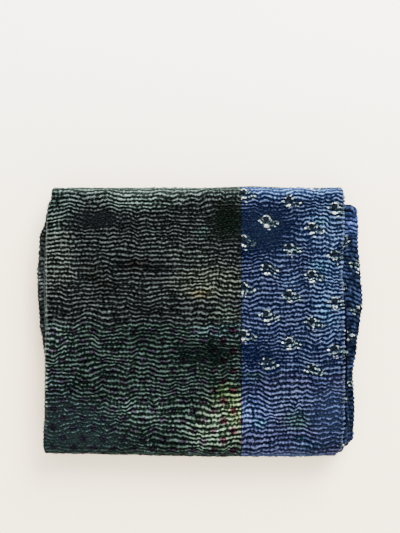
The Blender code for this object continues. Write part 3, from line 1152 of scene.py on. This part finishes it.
@dataclass(frozen=True)
class SariCotton:
    """Old sari cotton, plain woven, dyed, washed thin: matte, a little furry, paler on its ridges from
    rubbing and as painted highlight, with painted shade in its valleys.
    """

    name: str
    dye: str
    second_dye: str
    # the painted shade at the bottom of the valleys between the ridges
    painted_valley_shade: str
    motif: Motif = Motif.PLAIN
    print_shade: str = "#d8dde0"
    print_tint: tuple = (0.70, 0.38, 0.66)
    pale_tint: tuple = (0.66, 0.15, 0.36)
    # how the prints repeat, in millimetres, and the shares of a blot's reach at which it ends and is full
    sprig_pitch: tuple = (38.0, 78.8)
    sprig_step: float = 0.4226
    flower_middle: tuple = (120.0, 91.5)
    bud_middle: tuple = (139.7, 87.5)
    spot_pitch: tuple = (16.7, 33.3)
    spot_middle: tuple = (66.5, -145)
    spot_reach: tuple = (7.2, 6.6)
    print_edge: tuple = (1.05, 0.7)
    # ovals of another shade: the dye's own unevenness, and painted light and shade
    dye_and_light_tones: tuple = ()
    # how many times lighter a full crest is painted, as wear and as painted highlight
    wear_and_highlight_gain: float = 6.0
    # how near a crest the painted shade of the valleys ends
    painted_valley_shade_end: float = 0.70
    roughness: float = 0.9

    def material(self) -> bpy.types.Material:
        """Builds the material.

        Returns:
            The material.
        """
        made = bpy.data.materials.new(self.name)
        made.use_nodes = True
        tree = made.node_tree
        shader = tree.nodes["Principled BSDF"]
        flat = add_node(tree, "UVMap", {}, uv_map="cloth")
        crest = add_node(tree, "Attribute", {}, out=2, attribute_name="crest")
        # dye takes unevenly over hands' breadths, and each thread a little differently
        cloudy = add_node(tree, "TexNoise", {"Vector": flat, "Scale": 16.0, "Detail": 3.0, "Roughness": 0.6})
        cloudy = add_node(tree, "MapRange", {0: cloudy, 1: 0.35, 2: 0.65})
        colour = add_node(tree, "Mix", {0: cloudy, 6: linear_colour(self.dye),
                                        7: linear_colour(self.second_dye)}, out=2, data_type="RGBA")
        calm = 1.0
        # the ovals: shades of the dye, and painted light and shade
        for toned_oval in self.dye_and_light_tones:
            share = oval(tree, flat, (toned_oval.x, toned_oval.y), (toned_oval.width, toned_oval.depth), (1.0, 0.15))
            toned_share = add_node(tree, "Math", {0: share, 1: toned_oval.strength}, operation="MULTIPLY")
            colour = add_node(tree, "Mix", {0: toned_share, 6: colour, 7: linear_colour(toned_oval.shade)}, out=2,
                              data_type="RGBA")
            if toned_oval.calm:
                calm = add_node(tree, "Math", {0: share, 1: -toned_oval.calm, 2: calm}, operation="MULTIPLY_ADD")
        if self.motif is Motif.SPRIGS:
            colour = self.leaves(tree, flat, colour)
        # wear and painted highlight: the crests are painted up to the gain times lighter, more in some places
        # than others
        rubbed_and_lit = add_node(tree, "TexNoise", {"Vector": flat, "Scale": 60.0, "Detail": 4.0})
        rubbed_and_lit = add_node(tree, "MapRange", {0: rubbed_and_lit, 1: 0.35, 2: 0.65, 3: 0.62, 4: 1.0})
        worn_and_lit = add_node(tree, "MapRange", {0: crest, 1: 0.35, 2: 1.2, 3: 0.0, 4: 1.0},
                        interpolation_type="SMOOTHSTEP")
        worn_and_lit = add_node(tree, "Math", {0: worn_and_lit, 1: rubbed_and_lit}, operation="MULTIPLY")
        wear_and_highlight_lift = add_node(tree, "MapRange", {0: worn_and_lit, 3: 1.0, 4: self.wear_and_highlight_gain})
        colour = add_node(tree, "VectorMath", {0: colour, 1: wear_and_highlight_lift}, operation="MULTIPLY")
        # painted shade in the valleys: towards the rows the colour goes over to the dark valley shade, less
        # where an oval calms it
        valley_shade_share = add_node(tree, "MapRange", {0: crest, 1: 0.08, 2: self.painted_valley_shade_end, 3: 1.0, 4: 0.0})
        valley_shade_share = add_node(tree, "Math", {0: valley_shade_share, 1: calm}, operation="MULTIPLY")
        colour = add_node(tree, "Mix", {0: valley_shade_share, 6: colour, 7: linear_colour(self.painted_valley_shade)}, out=2,
                          data_type="RGBA")
        if self.motif is Motif.SPRIGS:
            colour = self.petals(tree, flat, valley_shade_share, colour)
        if self.motif is Motif.SPOTS:
            colour = self.spots(tree, flat, colour)
        # painted light and shade of tiny creases, each a few threads wide
        crease_light_and_shade = add_node(tree, "TexNoise", {"Vector": flat, "Scale": 460.0, "Detail": 2.0})
        crease_light_and_shade = add_node(tree, "MapRange", {0: crease_light_and_shade, 1: 0.30, 2: 0.70, 3: 0.1, 4: 1.85})
        colour = add_node(tree, "VectorMath", {0: colour, 1: crease_light_and_shade}, operation="MULTIPLY")
        # plain weave, drawn three times as coarse as the real 0.35 mm thread so that it shows
        split = add_node(tree, "SeparateXYZ", {0: flat})
        thread = 2 * math.pi / (1.1 * MM)
        warp = add_node(tree, "Math", {0: split, 1: thread}, operation="MULTIPLY")
        weft = add_node(tree, "Math", {0: split.node.outputs[1], 1: thread}, operation="MULTIPLY")
        weave = add_node(tree, "Math", {
            0: add_node(tree, "Math", {0: warp}, operation="SINE"),
            1: add_node(tree, "Math", {0: weft}, operation="SINE")}, operation="MULTIPLY")
        slub = add_node(tree, "TexNoise", {"Vector": flat, "Scale": 420.0, "Detail": 2.0})
        fuzz = add_node(tree, "Math", {0: weave, 1: 0.35, 2: slub}, operation="MULTIPLY_ADD")
        tone = add_node(tree, "MapRange", {0: fuzz, 1: 0.0, 2: 1.1, 3: 0.72, 4: 1.28})
        colour = add_node(tree, "VectorMath", {0: colour, 1: tone}, operation="MULTIPLY")
        crumple = add_node(tree, "TexNoise", {"Vector": flat, "Scale": 240.0, "Detail": 3.0})
        rough = add_node(tree, "Bump", {"Height": crumple, "Strength": 0.6, "Distance": 0.6 * MM})
        bump = add_node(tree, "Bump", {"Height": fuzz, "Strength": 0.5, "Distance": 0.16 * MM,
                                       "Normal": rough})
        dull = add_node(tree, "MapRange", {0: fuzz, 1: 0.0, 2: 1.0,
                                           3: self.roughness + 0.06, 4: self.roughness - 0.06})
        tree.links.new(colour, shader.inputs["Base Color"])
        tree.links.new(bump, shader.inputs["Normal"])
        tree.links.new(dull, shader.inputs["Roughness"])
        shader.inputs["Sheen Weight"].default_value = 0.001
        shader.inputs["Sheen Roughness"].default_value = 0.5
        shader.inputs["Specular IOR Level"].default_value = 0.004
        return made

    def cell(self, tree: Tree, flat: Socket, origin: tuple, pitch: tuple, step: float) -> Socket:
        """The place within one repeat of a print whose columns each start a step higher than the last.

        Args:
            tree: The node tree.
            flat: The flat place.
            origin: The middle of one motif, in millimetres.
            pitch: Distance between columns, and between motifs in a column, in millimetres.
            step: Share of the second pitch that each column is higher by.

        Returns:
            The place from the motif's middle, in metres.
        """
        wide, long = pitch[0] * MM, pitch[1] * MM
        moved = add_node(tree, "VectorMath", {0: flat, 1: (origin[0] * MM - wide / 2, origin[1] * MM, 0)},
                         operation="SUBTRACT")
        split = add_node(tree, "SeparateXYZ", {0: moved})
        across = add_node(tree, "Math", {0: split, 1: wide}, operation="DIVIDE")
        column = add_node(tree, "Math", {0: across}, operation="FLOOR")
        along = add_node(tree, "Math", {0: split.node.outputs[1], 1: long}, operation="DIVIDE")
        along = add_node(tree, "Math", {0: column, 1: -step, 2: along}, operation="MULTIPLY_ADD")
        along = add_node(tree, "Math", {0: along, 1: 0.5}, operation="ADD")
        x = add_node(tree, "Math", {0: add_node(tree, "Math", {0: across}, operation="FRACT"), 1: 0.5},
                     operation="SUBTRACT")
        y = add_node(tree, "Math", {0: add_node(tree, "Math", {0: along}, operation="FRACT"), 1: 0.5},
                     operation="SUBTRACT")
        unit = add_node(tree, "CombineXYZ", {0: x, 1: y})
        return add_node(tree, "VectorMath", {0: unit, 1: (wide, long, 0)}, operation="MULTIPLY")

    def wobbled(self, tree: Tree, flat: Socket, reach: float) -> Socket:
        """The flat place, moved about a little, as a hand-printed cloth's motifs are."""
        noise = add_node(tree, "TexNoise", {"Vector": flat, "Scale": 110.0, "Detail": 2.0}, out=1)
        return add_node(tree, "VectorMath", {0: noise, 1: (reach, reach, 0), 2: flat},
                        operation="MULTIPLY_ADD")

    def sprig_cells(self, tree: Tree, flat: Socket) -> tuple:
        """The place within one repeat of the sprigs.

        Args:
            tree: The node tree.
            flat: The flat place.

        Returns:
            The place from the flower's middle, and from the bud's.
        """
        place = self.wobbled(tree, flat, 3 * MM)
        return tuple(self.cell(tree, place, middle, self.sprig_pitch, self.sprig_step)
                     for middle in (self.flower_middle, self.bud_middle))

    def leaves(self, tree: Tree, flat: Socket, colour: Socket) -> Socket:
        """Prints the sprigs' leaves, thin strokes of a pale green on a dark one.

        Args:
            tree: The node tree.
            flat: The flat place.
            colour: The colour so far.

        Returns:
            The new colour.
        """
        flower, bud = self.sprig_cells(tree, flat)
        stroke = add_node(tree, "TexNoise", {"Vector": flat, "Scale": 300.0, "Detail": 2.0})
        stroke = add_node(tree, "MapRange", {0: stroke, 1: 0.50, 2: 0.60})
        leaf = add_node(tree, "Mix", {0: stroke, 6: linear_colour("#060b0e"), 7: linear_colour("#323f40")},
                        out=2, data_type="RGBA")
        for spot, middle, size in ((bud, (-4, 0), (9, 7)), (flower, (2, 0), (13, 12))):
            inside = oval(tree, spot, middle, size, self.print_edge)
            share = add_node(tree, "Math", {0: inside, 1: 0.75}, operation="MULTIPLY")
            colour = add_node(tree, "Mix", {0: share, 6: colour, 7: leaf}, out=2, data_type="RGBA")
        return colour

    def petals(self, tree: Tree, flat: Socket, valley_shade_share: Socket, colour: Socket) -> Socket:
        """Prints the sprigs' petals, broken up by wear and left out where the painted valley shade lies, so
        that they show in flecks on the crests.

        Args:
            tree: The node tree.
            flat: The flat place.
            valley_shade_share: How much painted valley shade there is.
            colour: The colour so far.

        Returns:
            The new colour.
        """
        flower, bud = self.sprig_cells(tree, flat)
        patchy = add_node(tree, "TexNoise", {"Vector": flat, "Scale": 420.0, "Detail": 1.0})
        patchy = add_node(tree, "MapRange", {0: patchy, 1: 0.42, 2: 0.54, 3: 0.1, 4: 1.0})
        # the petals show only where the painted valley shade is light, and where wear has not broken them
        shown = add_node(tree, "MapRange", {0: valley_shade_share, 1: 0.1, 2: 0.7, 3: 1.0, 4: 0.0})
        shown = add_node(tree, "Math", {0: shown, 1: patchy}, operation="MULTIPLY")
        dark, pale = linear_colour("#070c14"), linear_colour(self.print_shade)
        # from which middle, where and how large in millimetres, the shade, and how strong
        for spot, middle, size, shade, strength in (
            (flower, (0.8, 4.6), (7.1, 5.4), pale, 0.85),
            (flower, (0.5, 3.2), (6.4, 5.8), dark, 1.0),
            (flower, (-10.4, 0.4), (2.2, 1.8), pale, 0.9),
            (flower, (-7.4, -2.6), (1.6, 1.3), pale, 0.5),
            (flower, (1.4, -8.4), (5.0, 3.4), pale, 1.0),
            (flower, (2.4, -11.0), (4.0, 2.1), dark, 0.5),
            (flower, (5.4, -14.4), (2.4, 1.3), pale, 0.6),
            (flower, (9.4, 1.6), (1.5, 1.3), pale, 0.4),
            (bud, (0, 0), (2.3, 1.9), pale, 0.7),
            (bud, (-4.2, -5.0), (1.8, 1.2), pale, 0.4),
        ):
            inside = oval(tree, spot, middle, size, self.print_edge)
            share = add_node(tree, "Math", {0: inside, 1: strength}, operation="MULTIPLY")
            if shade is pale:
                share = add_node(tree, "Math", {0: share, 1: shown}, operation="MULTIPLY")
            colour = add_node(tree, "Mix", {0: share, 6: colour, 7: shade}, out=2, data_type="RGBA")
        return colour

    def spots(self, tree: Tree, flat: Socket, colour: Socket) -> Socket:
        """Prints the spots, a thin madder over the ground, redder where the ground is palest.

        Args:
            tree: The node tree.
            flat: The flat place.
            colour: The colour so far.

        Returns:
            The new colour.
        """
        place = self.wobbled(tree, flat, 5 * MM)
        cell = self.cell(tree, place, self.spot_middle, self.spot_pitch, 0.5)
        inside = oval(tree, cell, (0, 0), self.spot_reach, self.print_edge)
        split = add_node(tree, "SeparateXYZ", {0: flat})
        pale = add_node(tree, "MapRange", {0: split, 1: 20 * MM, 2: 50 * MM})
        tint = add_node(tree, "Mix", {0: pale, 6: (*self.print_tint, 1), 7: (*self.pale_tint, 1)}, out=2,
                        data_type="RGBA")
        tinted = add_node(tree, "VectorMath", {0: colour, 1: tint}, operation="MULTIPLY")
        return add_node(tree, "Mix", {0: inside, 6: colour, 7: tinted}, out=2, data_type="RGBA")


@dataclass(frozen=True)
class SewingCotton:
    """Six-strand cotton thread, twisted: a soft shine along each strand."""

    name: str = "sewing_cotton"
    left: str = "#191d1c"
    right: str = "#181f2e"

    def material(self) -> bpy.types.Material:
        """Builds the material.

        Returns:
            The material.
        """
        made = bpy.data.materials.new(self.name)
        made.use_nodes = True
        tree = made.node_tree
        shader = tree.nodes["Principled BSDF"]
        flat = add_node(tree, "UVMap", {}, uv_map="cloth")
        split = add_node(tree, "SeparateXYZ", {0: flat})
        beyond = add_node(tree, "Math", {0: split, 1: SEAM}, operation="GREATER_THAN")
        colour = add_node(tree, "Mix", {0: beyond, 6: linear_colour(self.left), 7: linear_colour(self.right)},
                          out=2, data_type="RGBA")
        noise = add_node(tree, "TexNoise", {"Vector": flat, "Scale": 170.0, "Detail": 1.0})
        tone = add_node(tree, "MapRange", {0: noise, 1: 0.3, 2: 0.7, 3: 0.25, 4: 1.35})
        colour = add_node(tree, "VectorMath", {0: colour, 1: tone}, operation="MULTIPLY")
        strands = add_node(tree, "TexWave", {"Vector": flat, "Scale": 500.0, "Distortion": 2.0},
                           bands_direction="DIAGONAL")
        bump = add_node(tree, "Bump", {"Height": strands, "Strength": 0.4, "Distance": 0.08 * MM})
        tree.links.new(colour, shader.inputs["Base Color"])
        tree.links.new(bump, shader.inputs["Normal"])
        shader.inputs["Roughness"].default_value = 0.7
        return made


CHARCOAL = SariCotton(
    "washed_sari_cotton_charcoal", "#0f1112", "#111415", "#000101",
    dye_and_light_tones=(
        # these two ovals are painted light on the band where the top bends down to the back fold and faces
        # the light
        DyeAndLightTone(-75, 228, 400, 34, "#1e2524", 0.95),
        DyeAndLightTone(-90, 206, 90, 26, "#232c2a", 0.85),
        DyeAndLightTone(-225, 205, 50, 50, "#1a2221", 0.8),
        DyeAndLightTone(-234, 160, 26, 24, "#1f2725", 0.8),
        DyeAndLightTone(-228, 103, 44, 84, "#1c201f", 0.85),
        # painted highlight along the left fold's edge
        DyeAndLightTone(-249, 80, 6, 160, "#2a302f", 0.95),
        DyeAndLightTone(-156, 172, 66, 20, "#0a0c10", 0.8, 0.4),
        DyeAndLightTone(-114, 158, 40, 14, "#07090a", 0.8),
        DyeAndLightTone(-100, 98, 50, 15, "#050505", 0.9),
        DyeAndLightTone(-168, 82, 34, 32, "#090b0a", 0.7),
        DyeAndLightTone(-148, 58, 32, 20, "#080808", 0.6),
        DyeAndLightTone(-92, 18, 50, 20, "#090a0a", 0.7),
        DyeAndLightTone(55, 168, 44, 50, "#050b07", 0.95, 0.3),
        DyeAndLightTone(14, 150, 20, 14, "#131e1b", 0.6),
        DyeAndLightTone(20, 105, 60, 28, "#171b1b", 0.8),
        DyeAndLightTone(16, 114, 20, 16, "#1e2422", 0.6),
        DyeAndLightTone(27, 66, 90, 42, "#1e221e", 0.85),
        DyeAndLightTone(9, 48, 25, 12, "#221e12", 0.6),
        DyeAndLightTone(-30, 112, 30, 26, "#161a19", 0.7),
        DyeAndLightTone(50, 15, 40, 25, "#1a211e", 0.6),
        # painted light on the left border, which lies in the shadow of the layers above it
        DyeAndLightTone(-250, 916, 60, 260, "#1e2223", 0.95),
    ),
)
BOTTLE_GREEN = SariCotton(
    "washed_sari_cotton_bottle_green", "#0c1211", "#0f1514", "#000302",
    Motif.SPOTS, painted_valley_shade_end=0.64,
    dye_and_light_tones=(
        DyeAndLightTone(-80, -150, 110, 40, "#18211f", 0.85),
        DyeAndLightTone(0, -175, 70, 50, "#18201e", 0.85),
        DyeAndLightTone(62, -158, 66, 62, "#2f392e", 0.95),
        DyeAndLightTone(30, -180, 52, 42, "#303d33", 0.85),
        DyeAndLightTone(68, -148, 24, 36, "#3d4a32", 0.8),
        DyeAndLightTone(52, -120, 32, 30, "#1f2a16", 0.6),
        DyeAndLightTone(40, -14, 60, 22, "#161f22", 0.85),
        DyeAndLightTone(4, -52, 84, 28, "#090f0f", 0.6),
        DyeAndLightTone(-205, -176, 130, 70, "#0d1416", 0.85, 0.62),
        DyeAndLightTone(-233, -132, 50, 80, "#101618", 0.7),
        # painted highlight along the left fold's edge
        DyeAndLightTone(-249, -90, 6, 150, "#2a302f", 0.95),
        DyeAndLightTone(-180, -206, 135, 28, "#0b1213", 0.85, 0.62),
        DyeAndLightTone(-224, -22, 40, 60, "#1a2221", 0.75),
        DyeAndLightTone(-150, -10, 44, 16, "#161c1b", 0.6),
        DyeAndLightTone(-84, -28, 50, 26, "#060a09", 0.85),
        DyeAndLightTone(-4, -96, 26, 14, "#0b1111", 0.55),
    ),
)
INDIGO_SPRIG = SariCotton(
    "washed_sari_cotton_indigo_sprig", "#111522", "#131826", "#000314",
    Motif.SPRIGS, print_shade="#c3d2d4", painted_valley_shade_end=0.60,
    dye_and_light_tones=(
        DyeAndLightTone(165, 222, 140, 26, "#1f2d46", 0.9),
        DyeAndLightTone(217, 161, 60, 60, "#1c2639", 0.85),
        DyeAndLightTone(228, 60, 44, 130, "#1b2538", 0.85),
        DyeAndLightTone(219, 20, 30, 35, "#1a2d3e", 0.5),
        DyeAndLightTone(209, 169, 24, 14, "#132733", 0.6),
        DyeAndLightTone(210, 94, 28, 18, "#1c3142", 0.6),
        DyeAndLightTone(112, 158, 74, 62, "#080a17", 0.95),
        DyeAndLightTone(116, 157, 56, 50, "#080e1b", 0.95, 0.75),
        DyeAndLightTone(96, 105, 42, 30, "#0b0e1a", 0.75),
        DyeAndLightTone(112, -62, 60, 26, "#090b18", 0.85),
        DyeAndLightTone(84, 122, 36, 36, "#060914", 0.95),
        DyeAndLightTone(84, -34, 36, 30, "#060916", 0.95),
        DyeAndLightTone(134, -14, 18, 18, "#0c1020", 0.6),
        DyeAndLightTone(161, 67, 26, 20, "#1b2538", 0.6),
        DyeAndLightTone(230, 17, 16, 20, "#131a2a", 0.7),
        DyeAndLightTone(229, 137, 18, 26, "#222e44", 0.7),
    ),
)
SLATE_BLUE = SariCotton(
    "washed_sari_cotton_slate_blue", "#131727", "#171826", "#00030f",
    wear_and_highlight_gain=5.5, painted_valley_shade_end=0.56,
    dye_and_light_tones=(
        DyeAndLightTone(102, -150, 48, 46, "#1b2238", 0.95),
        DyeAndLightTone(108, -168, 20, 12, "#1a3040", 0.6),
        DyeAndLightTone(159, -130, 60, 34, "#1b2131", 0.8),
        DyeAndLightTone(170, -163, 34, 26, "#101c1b", 0.85),
        DyeAndLightTone(176, -194, 12, 8, "#12262b", 0.7),
        DyeAndLightTone(200, -206, 24, 10, "#101c1c", 0.5),
        DyeAndLightTone(192, -72, 60, 25, "#0e1120", 0.6),
        DyeAndLightTone(228, -150, 54, 84, "#111829", 0.75, 0.55),
        DyeAndLightTone(170, -234, 110, 18, "#172030", 0.7),
        DyeAndLightTone(97, -88, 30, 18, "#0d1817", 0.75),
        DyeAndLightTone(206, -100, 24, 28, "#0d1120", 0.7),
        DyeAndLightTone(184, -122, 20, 16, "#0e1322", 0.7),
        DyeAndLightTone(190, -206, 38, 16, "#1b2438", 0.6),
        DyeAndLightTone(87, -98, 16, 16, "#0c1220", 0.7),
        DyeAndLightTone(87, -146, 18, 30, "#28334e", 0.9),
    ),
)
NAVY_BACK = SariCotton(
    "washed_sari_cotton_navy", "#0d1321", "#0f1525", "#000208",
    Motif.SPRIGS, print_shade="#c3d2d4",
    dye_and_light_tones=(
        # painted shadow in the gap beside the right hem
        DyeAndLightTone(BACK_SHIFT / MM - 756, 0, 15, 330, "#010104", 1.0),
        DyeAndLightTone(BACK_SHIFT / MM - 770, 804, 30, 34, "#060913", 0.85),
        DyeAndLightTone(BACK_SHIFT / MM - 782, 1092, 36, 42, "#1d2644", 0.9),
    ),
)
FINISHES = (CHARCOAL, BOTTLE_GREEN, INDIGO_SPRIG, SLATE_BLUE, NAVY_BACK)


@dataclass
class Studio:
    """A pale floor, soft light from behind and right, and the camera above."""

    floor_size: float = 6.0
    floor_near: str = "#f0e1c9"
    floor_far: str = "#f3f1ee"
    camera_place: tuple = (0.00105, 0.0921, 1.259)
    lens: float = 48.6

    def build(self) -> None:
        """Builds the floor, lights and camera."""
        bpy.ops.object.select_all(action="DESELECT")
        bpy.ops.mesh.primitive_plane_add(size=self.floor_size, location=(0, 0, -0.0002))
        floor = bpy.context.object
        floor.name = "studio_floor"
        made = bpy.data.materials.new("matte_paper")
        made.use_nodes = True
        tree = made.node_tree
        shader = tree.nodes["Principled BSDF"]
        place = add_node(tree, "TexCoord", {}, out=3)
        split = add_node(tree, "SeparateXYZ", {0: place})
        # painted light across the floor: paler and cooler towards the back, where the light comes from, and
        # warmer towards the front
        far = add_node(tree, "MapRange", {0: split.node.outputs[1], 1: 0.12, 2: 0.5})
        colour = add_node(tree, "Mix", {0: far, 6: linear_colour(self.floor_near),
                                        7: linear_colour(self.floor_far)}, out=2, data_type="RGBA")
        tree.links.new(colour, shader.inputs["Base Color"])
        shader.inputs["Roughness"].default_value = 0.95
        shader.inputs["Specular IOR Level"].default_value = 0.1
        floor.data.materials.append(made)
        self.light("window", (1.6, 3.4, 2.5), 2.8, 1300.0, "#fffdf8")
        self.light("wall", (0.6, -3.2, 1.6), 2.4, 110.0, "#fdfbf0")
        world = bpy.data.worlds.new("studio")
        bpy.context.scene.world = world
        world.use_nodes = True
        background = world.node_tree.nodes["Background"]
        background.inputs["Color"].default_value = linear_colour("#f8f4ea")
        background.inputs["Strength"].default_value = 3.3
        lens = bpy.data.cameras.new("camera")
        lens.lens = self.lens
        lens.clip_start, lens.clip_end = 0.05, 20
        camera = bpy.data.objects.new("camera", lens)
        camera.location = self.camera_place
        bpy.context.scene.collection.objects.link(camera)
        bpy.context.scene.camera = camera

    def light(self, name: str, place: tuple, size: float, power: float, shade: str) -> None:
        """Adds a soft square light that faces the pile.

        Args:
            name: The light's name.
            place: Where it is.
            size: Its side.
            power: Its power in watts.
            shade: Its colour.
        """
        lamp = bpy.data.lights.new(name, "AREA")
        lamp.energy, lamp.size, lamp.color = power, size, linear_colour(shade)[:3]
        light = bpy.data.objects.new(name, lamp)
        light.location = place
        x, y, z = place
        light.rotation_euler = (math.atan2(math.hypot(x, y), z), 0, math.atan2(x, -y))
        bpy.context.scene.collection.objects.link(light)


@dataclass
class Quilt:
    """The dressed quilt: its cloth, its patches and its stitches."""

    maker: SheetMaker
    # how far short of the front fold's start and the back fold's end the patches stop
    front_margin: float = 9 * MM
    back_margin: float = 5 * MM

    def build(self) -> None:
        """Builds and dresses every piece."""
        finishes = {finish.name: finish.material() for finish in FINISHES}
        maker, pile = self.maker, self.maker.pile
        cloth = QuiltCloth(maker).build()
        self.dress_cloth(cloth, finishes)
        front = pile.start_of(Run.FRONT_FOLD) + self.front_margin
        back = pile.start_of(Run.INSIDE) - self.back_margin
        patches = (
            ("charcoal_patch", Side.LEFT, LEFT_LINE, back, CHARCOAL, (0.336, 0.262)),
            ("bottle_green_patch", Side.LEFT, front, LEFT_LINE, BOTTLE_GREEN, (0.336, 0.285)),
            ("indigo_sprig_patch", Side.RIGHT, RIGHT_LINE, back, INDIGO_SPRIG, (0.177, 0.351)),
            ("slate_blue_patch", Side.RIGHT, front, RIGHT_LINE, SLATE_BLUE, (0.177, 0.196)),
        )
        threads, hem = StitchThreads(maker).build(), HemStitches(maker).build()
        threads.data.materials.append(SewingCotton().material())
        hem.data.materials.append(SewingCotton("pale_sewing_cotton", "#343d46", "#343d46").material())
        self.keep(threads)
        self.keep(hem)
        for name, side, start, end, finish, flat in patches:
            piece = SariPatch(maker, name, side, start, end).build()
            piece.data.materials.append(finishes[finish.name])
            self.keep(piece)
        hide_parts("quilt")

    def dress_cloth(self, cloth: bpy.types.Object, finishes: dict) -> None:
        """Gives each part of the whole cloth the sari cotton that it is patched with.

        Args:
            cloth: The piece.
            finishes: The materials by name.
        """
        for finish in FINISHES:
            cloth.data.materials.append(finishes[finish.name])
        mesh = cloth.data
        corners = np.empty(len(mesh.loops) * 2, dtype=np.float32)
        mesh.uv_layers["cloth"].uv.foreach_get("vector", corners)
        first = np.empty(len(mesh.polygons), dtype=np.int32)
        mesh.polygons.foreach_get("loop_start", first)
        x, y = corners.reshape(-1, 2)[first].T
        charcoal, green, sprig, slate, navy = range(len(FINISHES))
        left = (x < SEAM) & (x > -500 * MM) | (x < -1200 * MM)
        number = np.where(left, np.where(y > LEFT_LINE, charcoal, green),
                          np.where(y > RIGHT_LINE, sprig, slate))
        number = np.where(left & (y > 600 * MM), charcoal, number)
        number = np.where(x > BACK_SHIFT / 2, navy, number)
        mesh.polygons.foreach_set("material_index", number.astype(np.int32))
        self.keep(cloth)

    def keep(self, piece: bpy.types.Object) -> None:
        """Puts a finished piece on the pile and reports it.

        Args:
            piece: The piece.
        """
        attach(piece, "root")
        piece.data.calc_loop_triangles()
        LOG.info("%s: %d triangles", piece.name, len(piece.data.loop_triangles))


def main() -> None:
    """Builds the studio and the quilt."""
    logging.basicConfig(level=logging.INFO, format="%(name)s: %(message)s")
    Studio().build()
    Quilt(SheetMaker(FoldedPile(), RunningStitch())).build()
    bpy.context.view_layer.update()


if __name__ == "__main__":
    main()
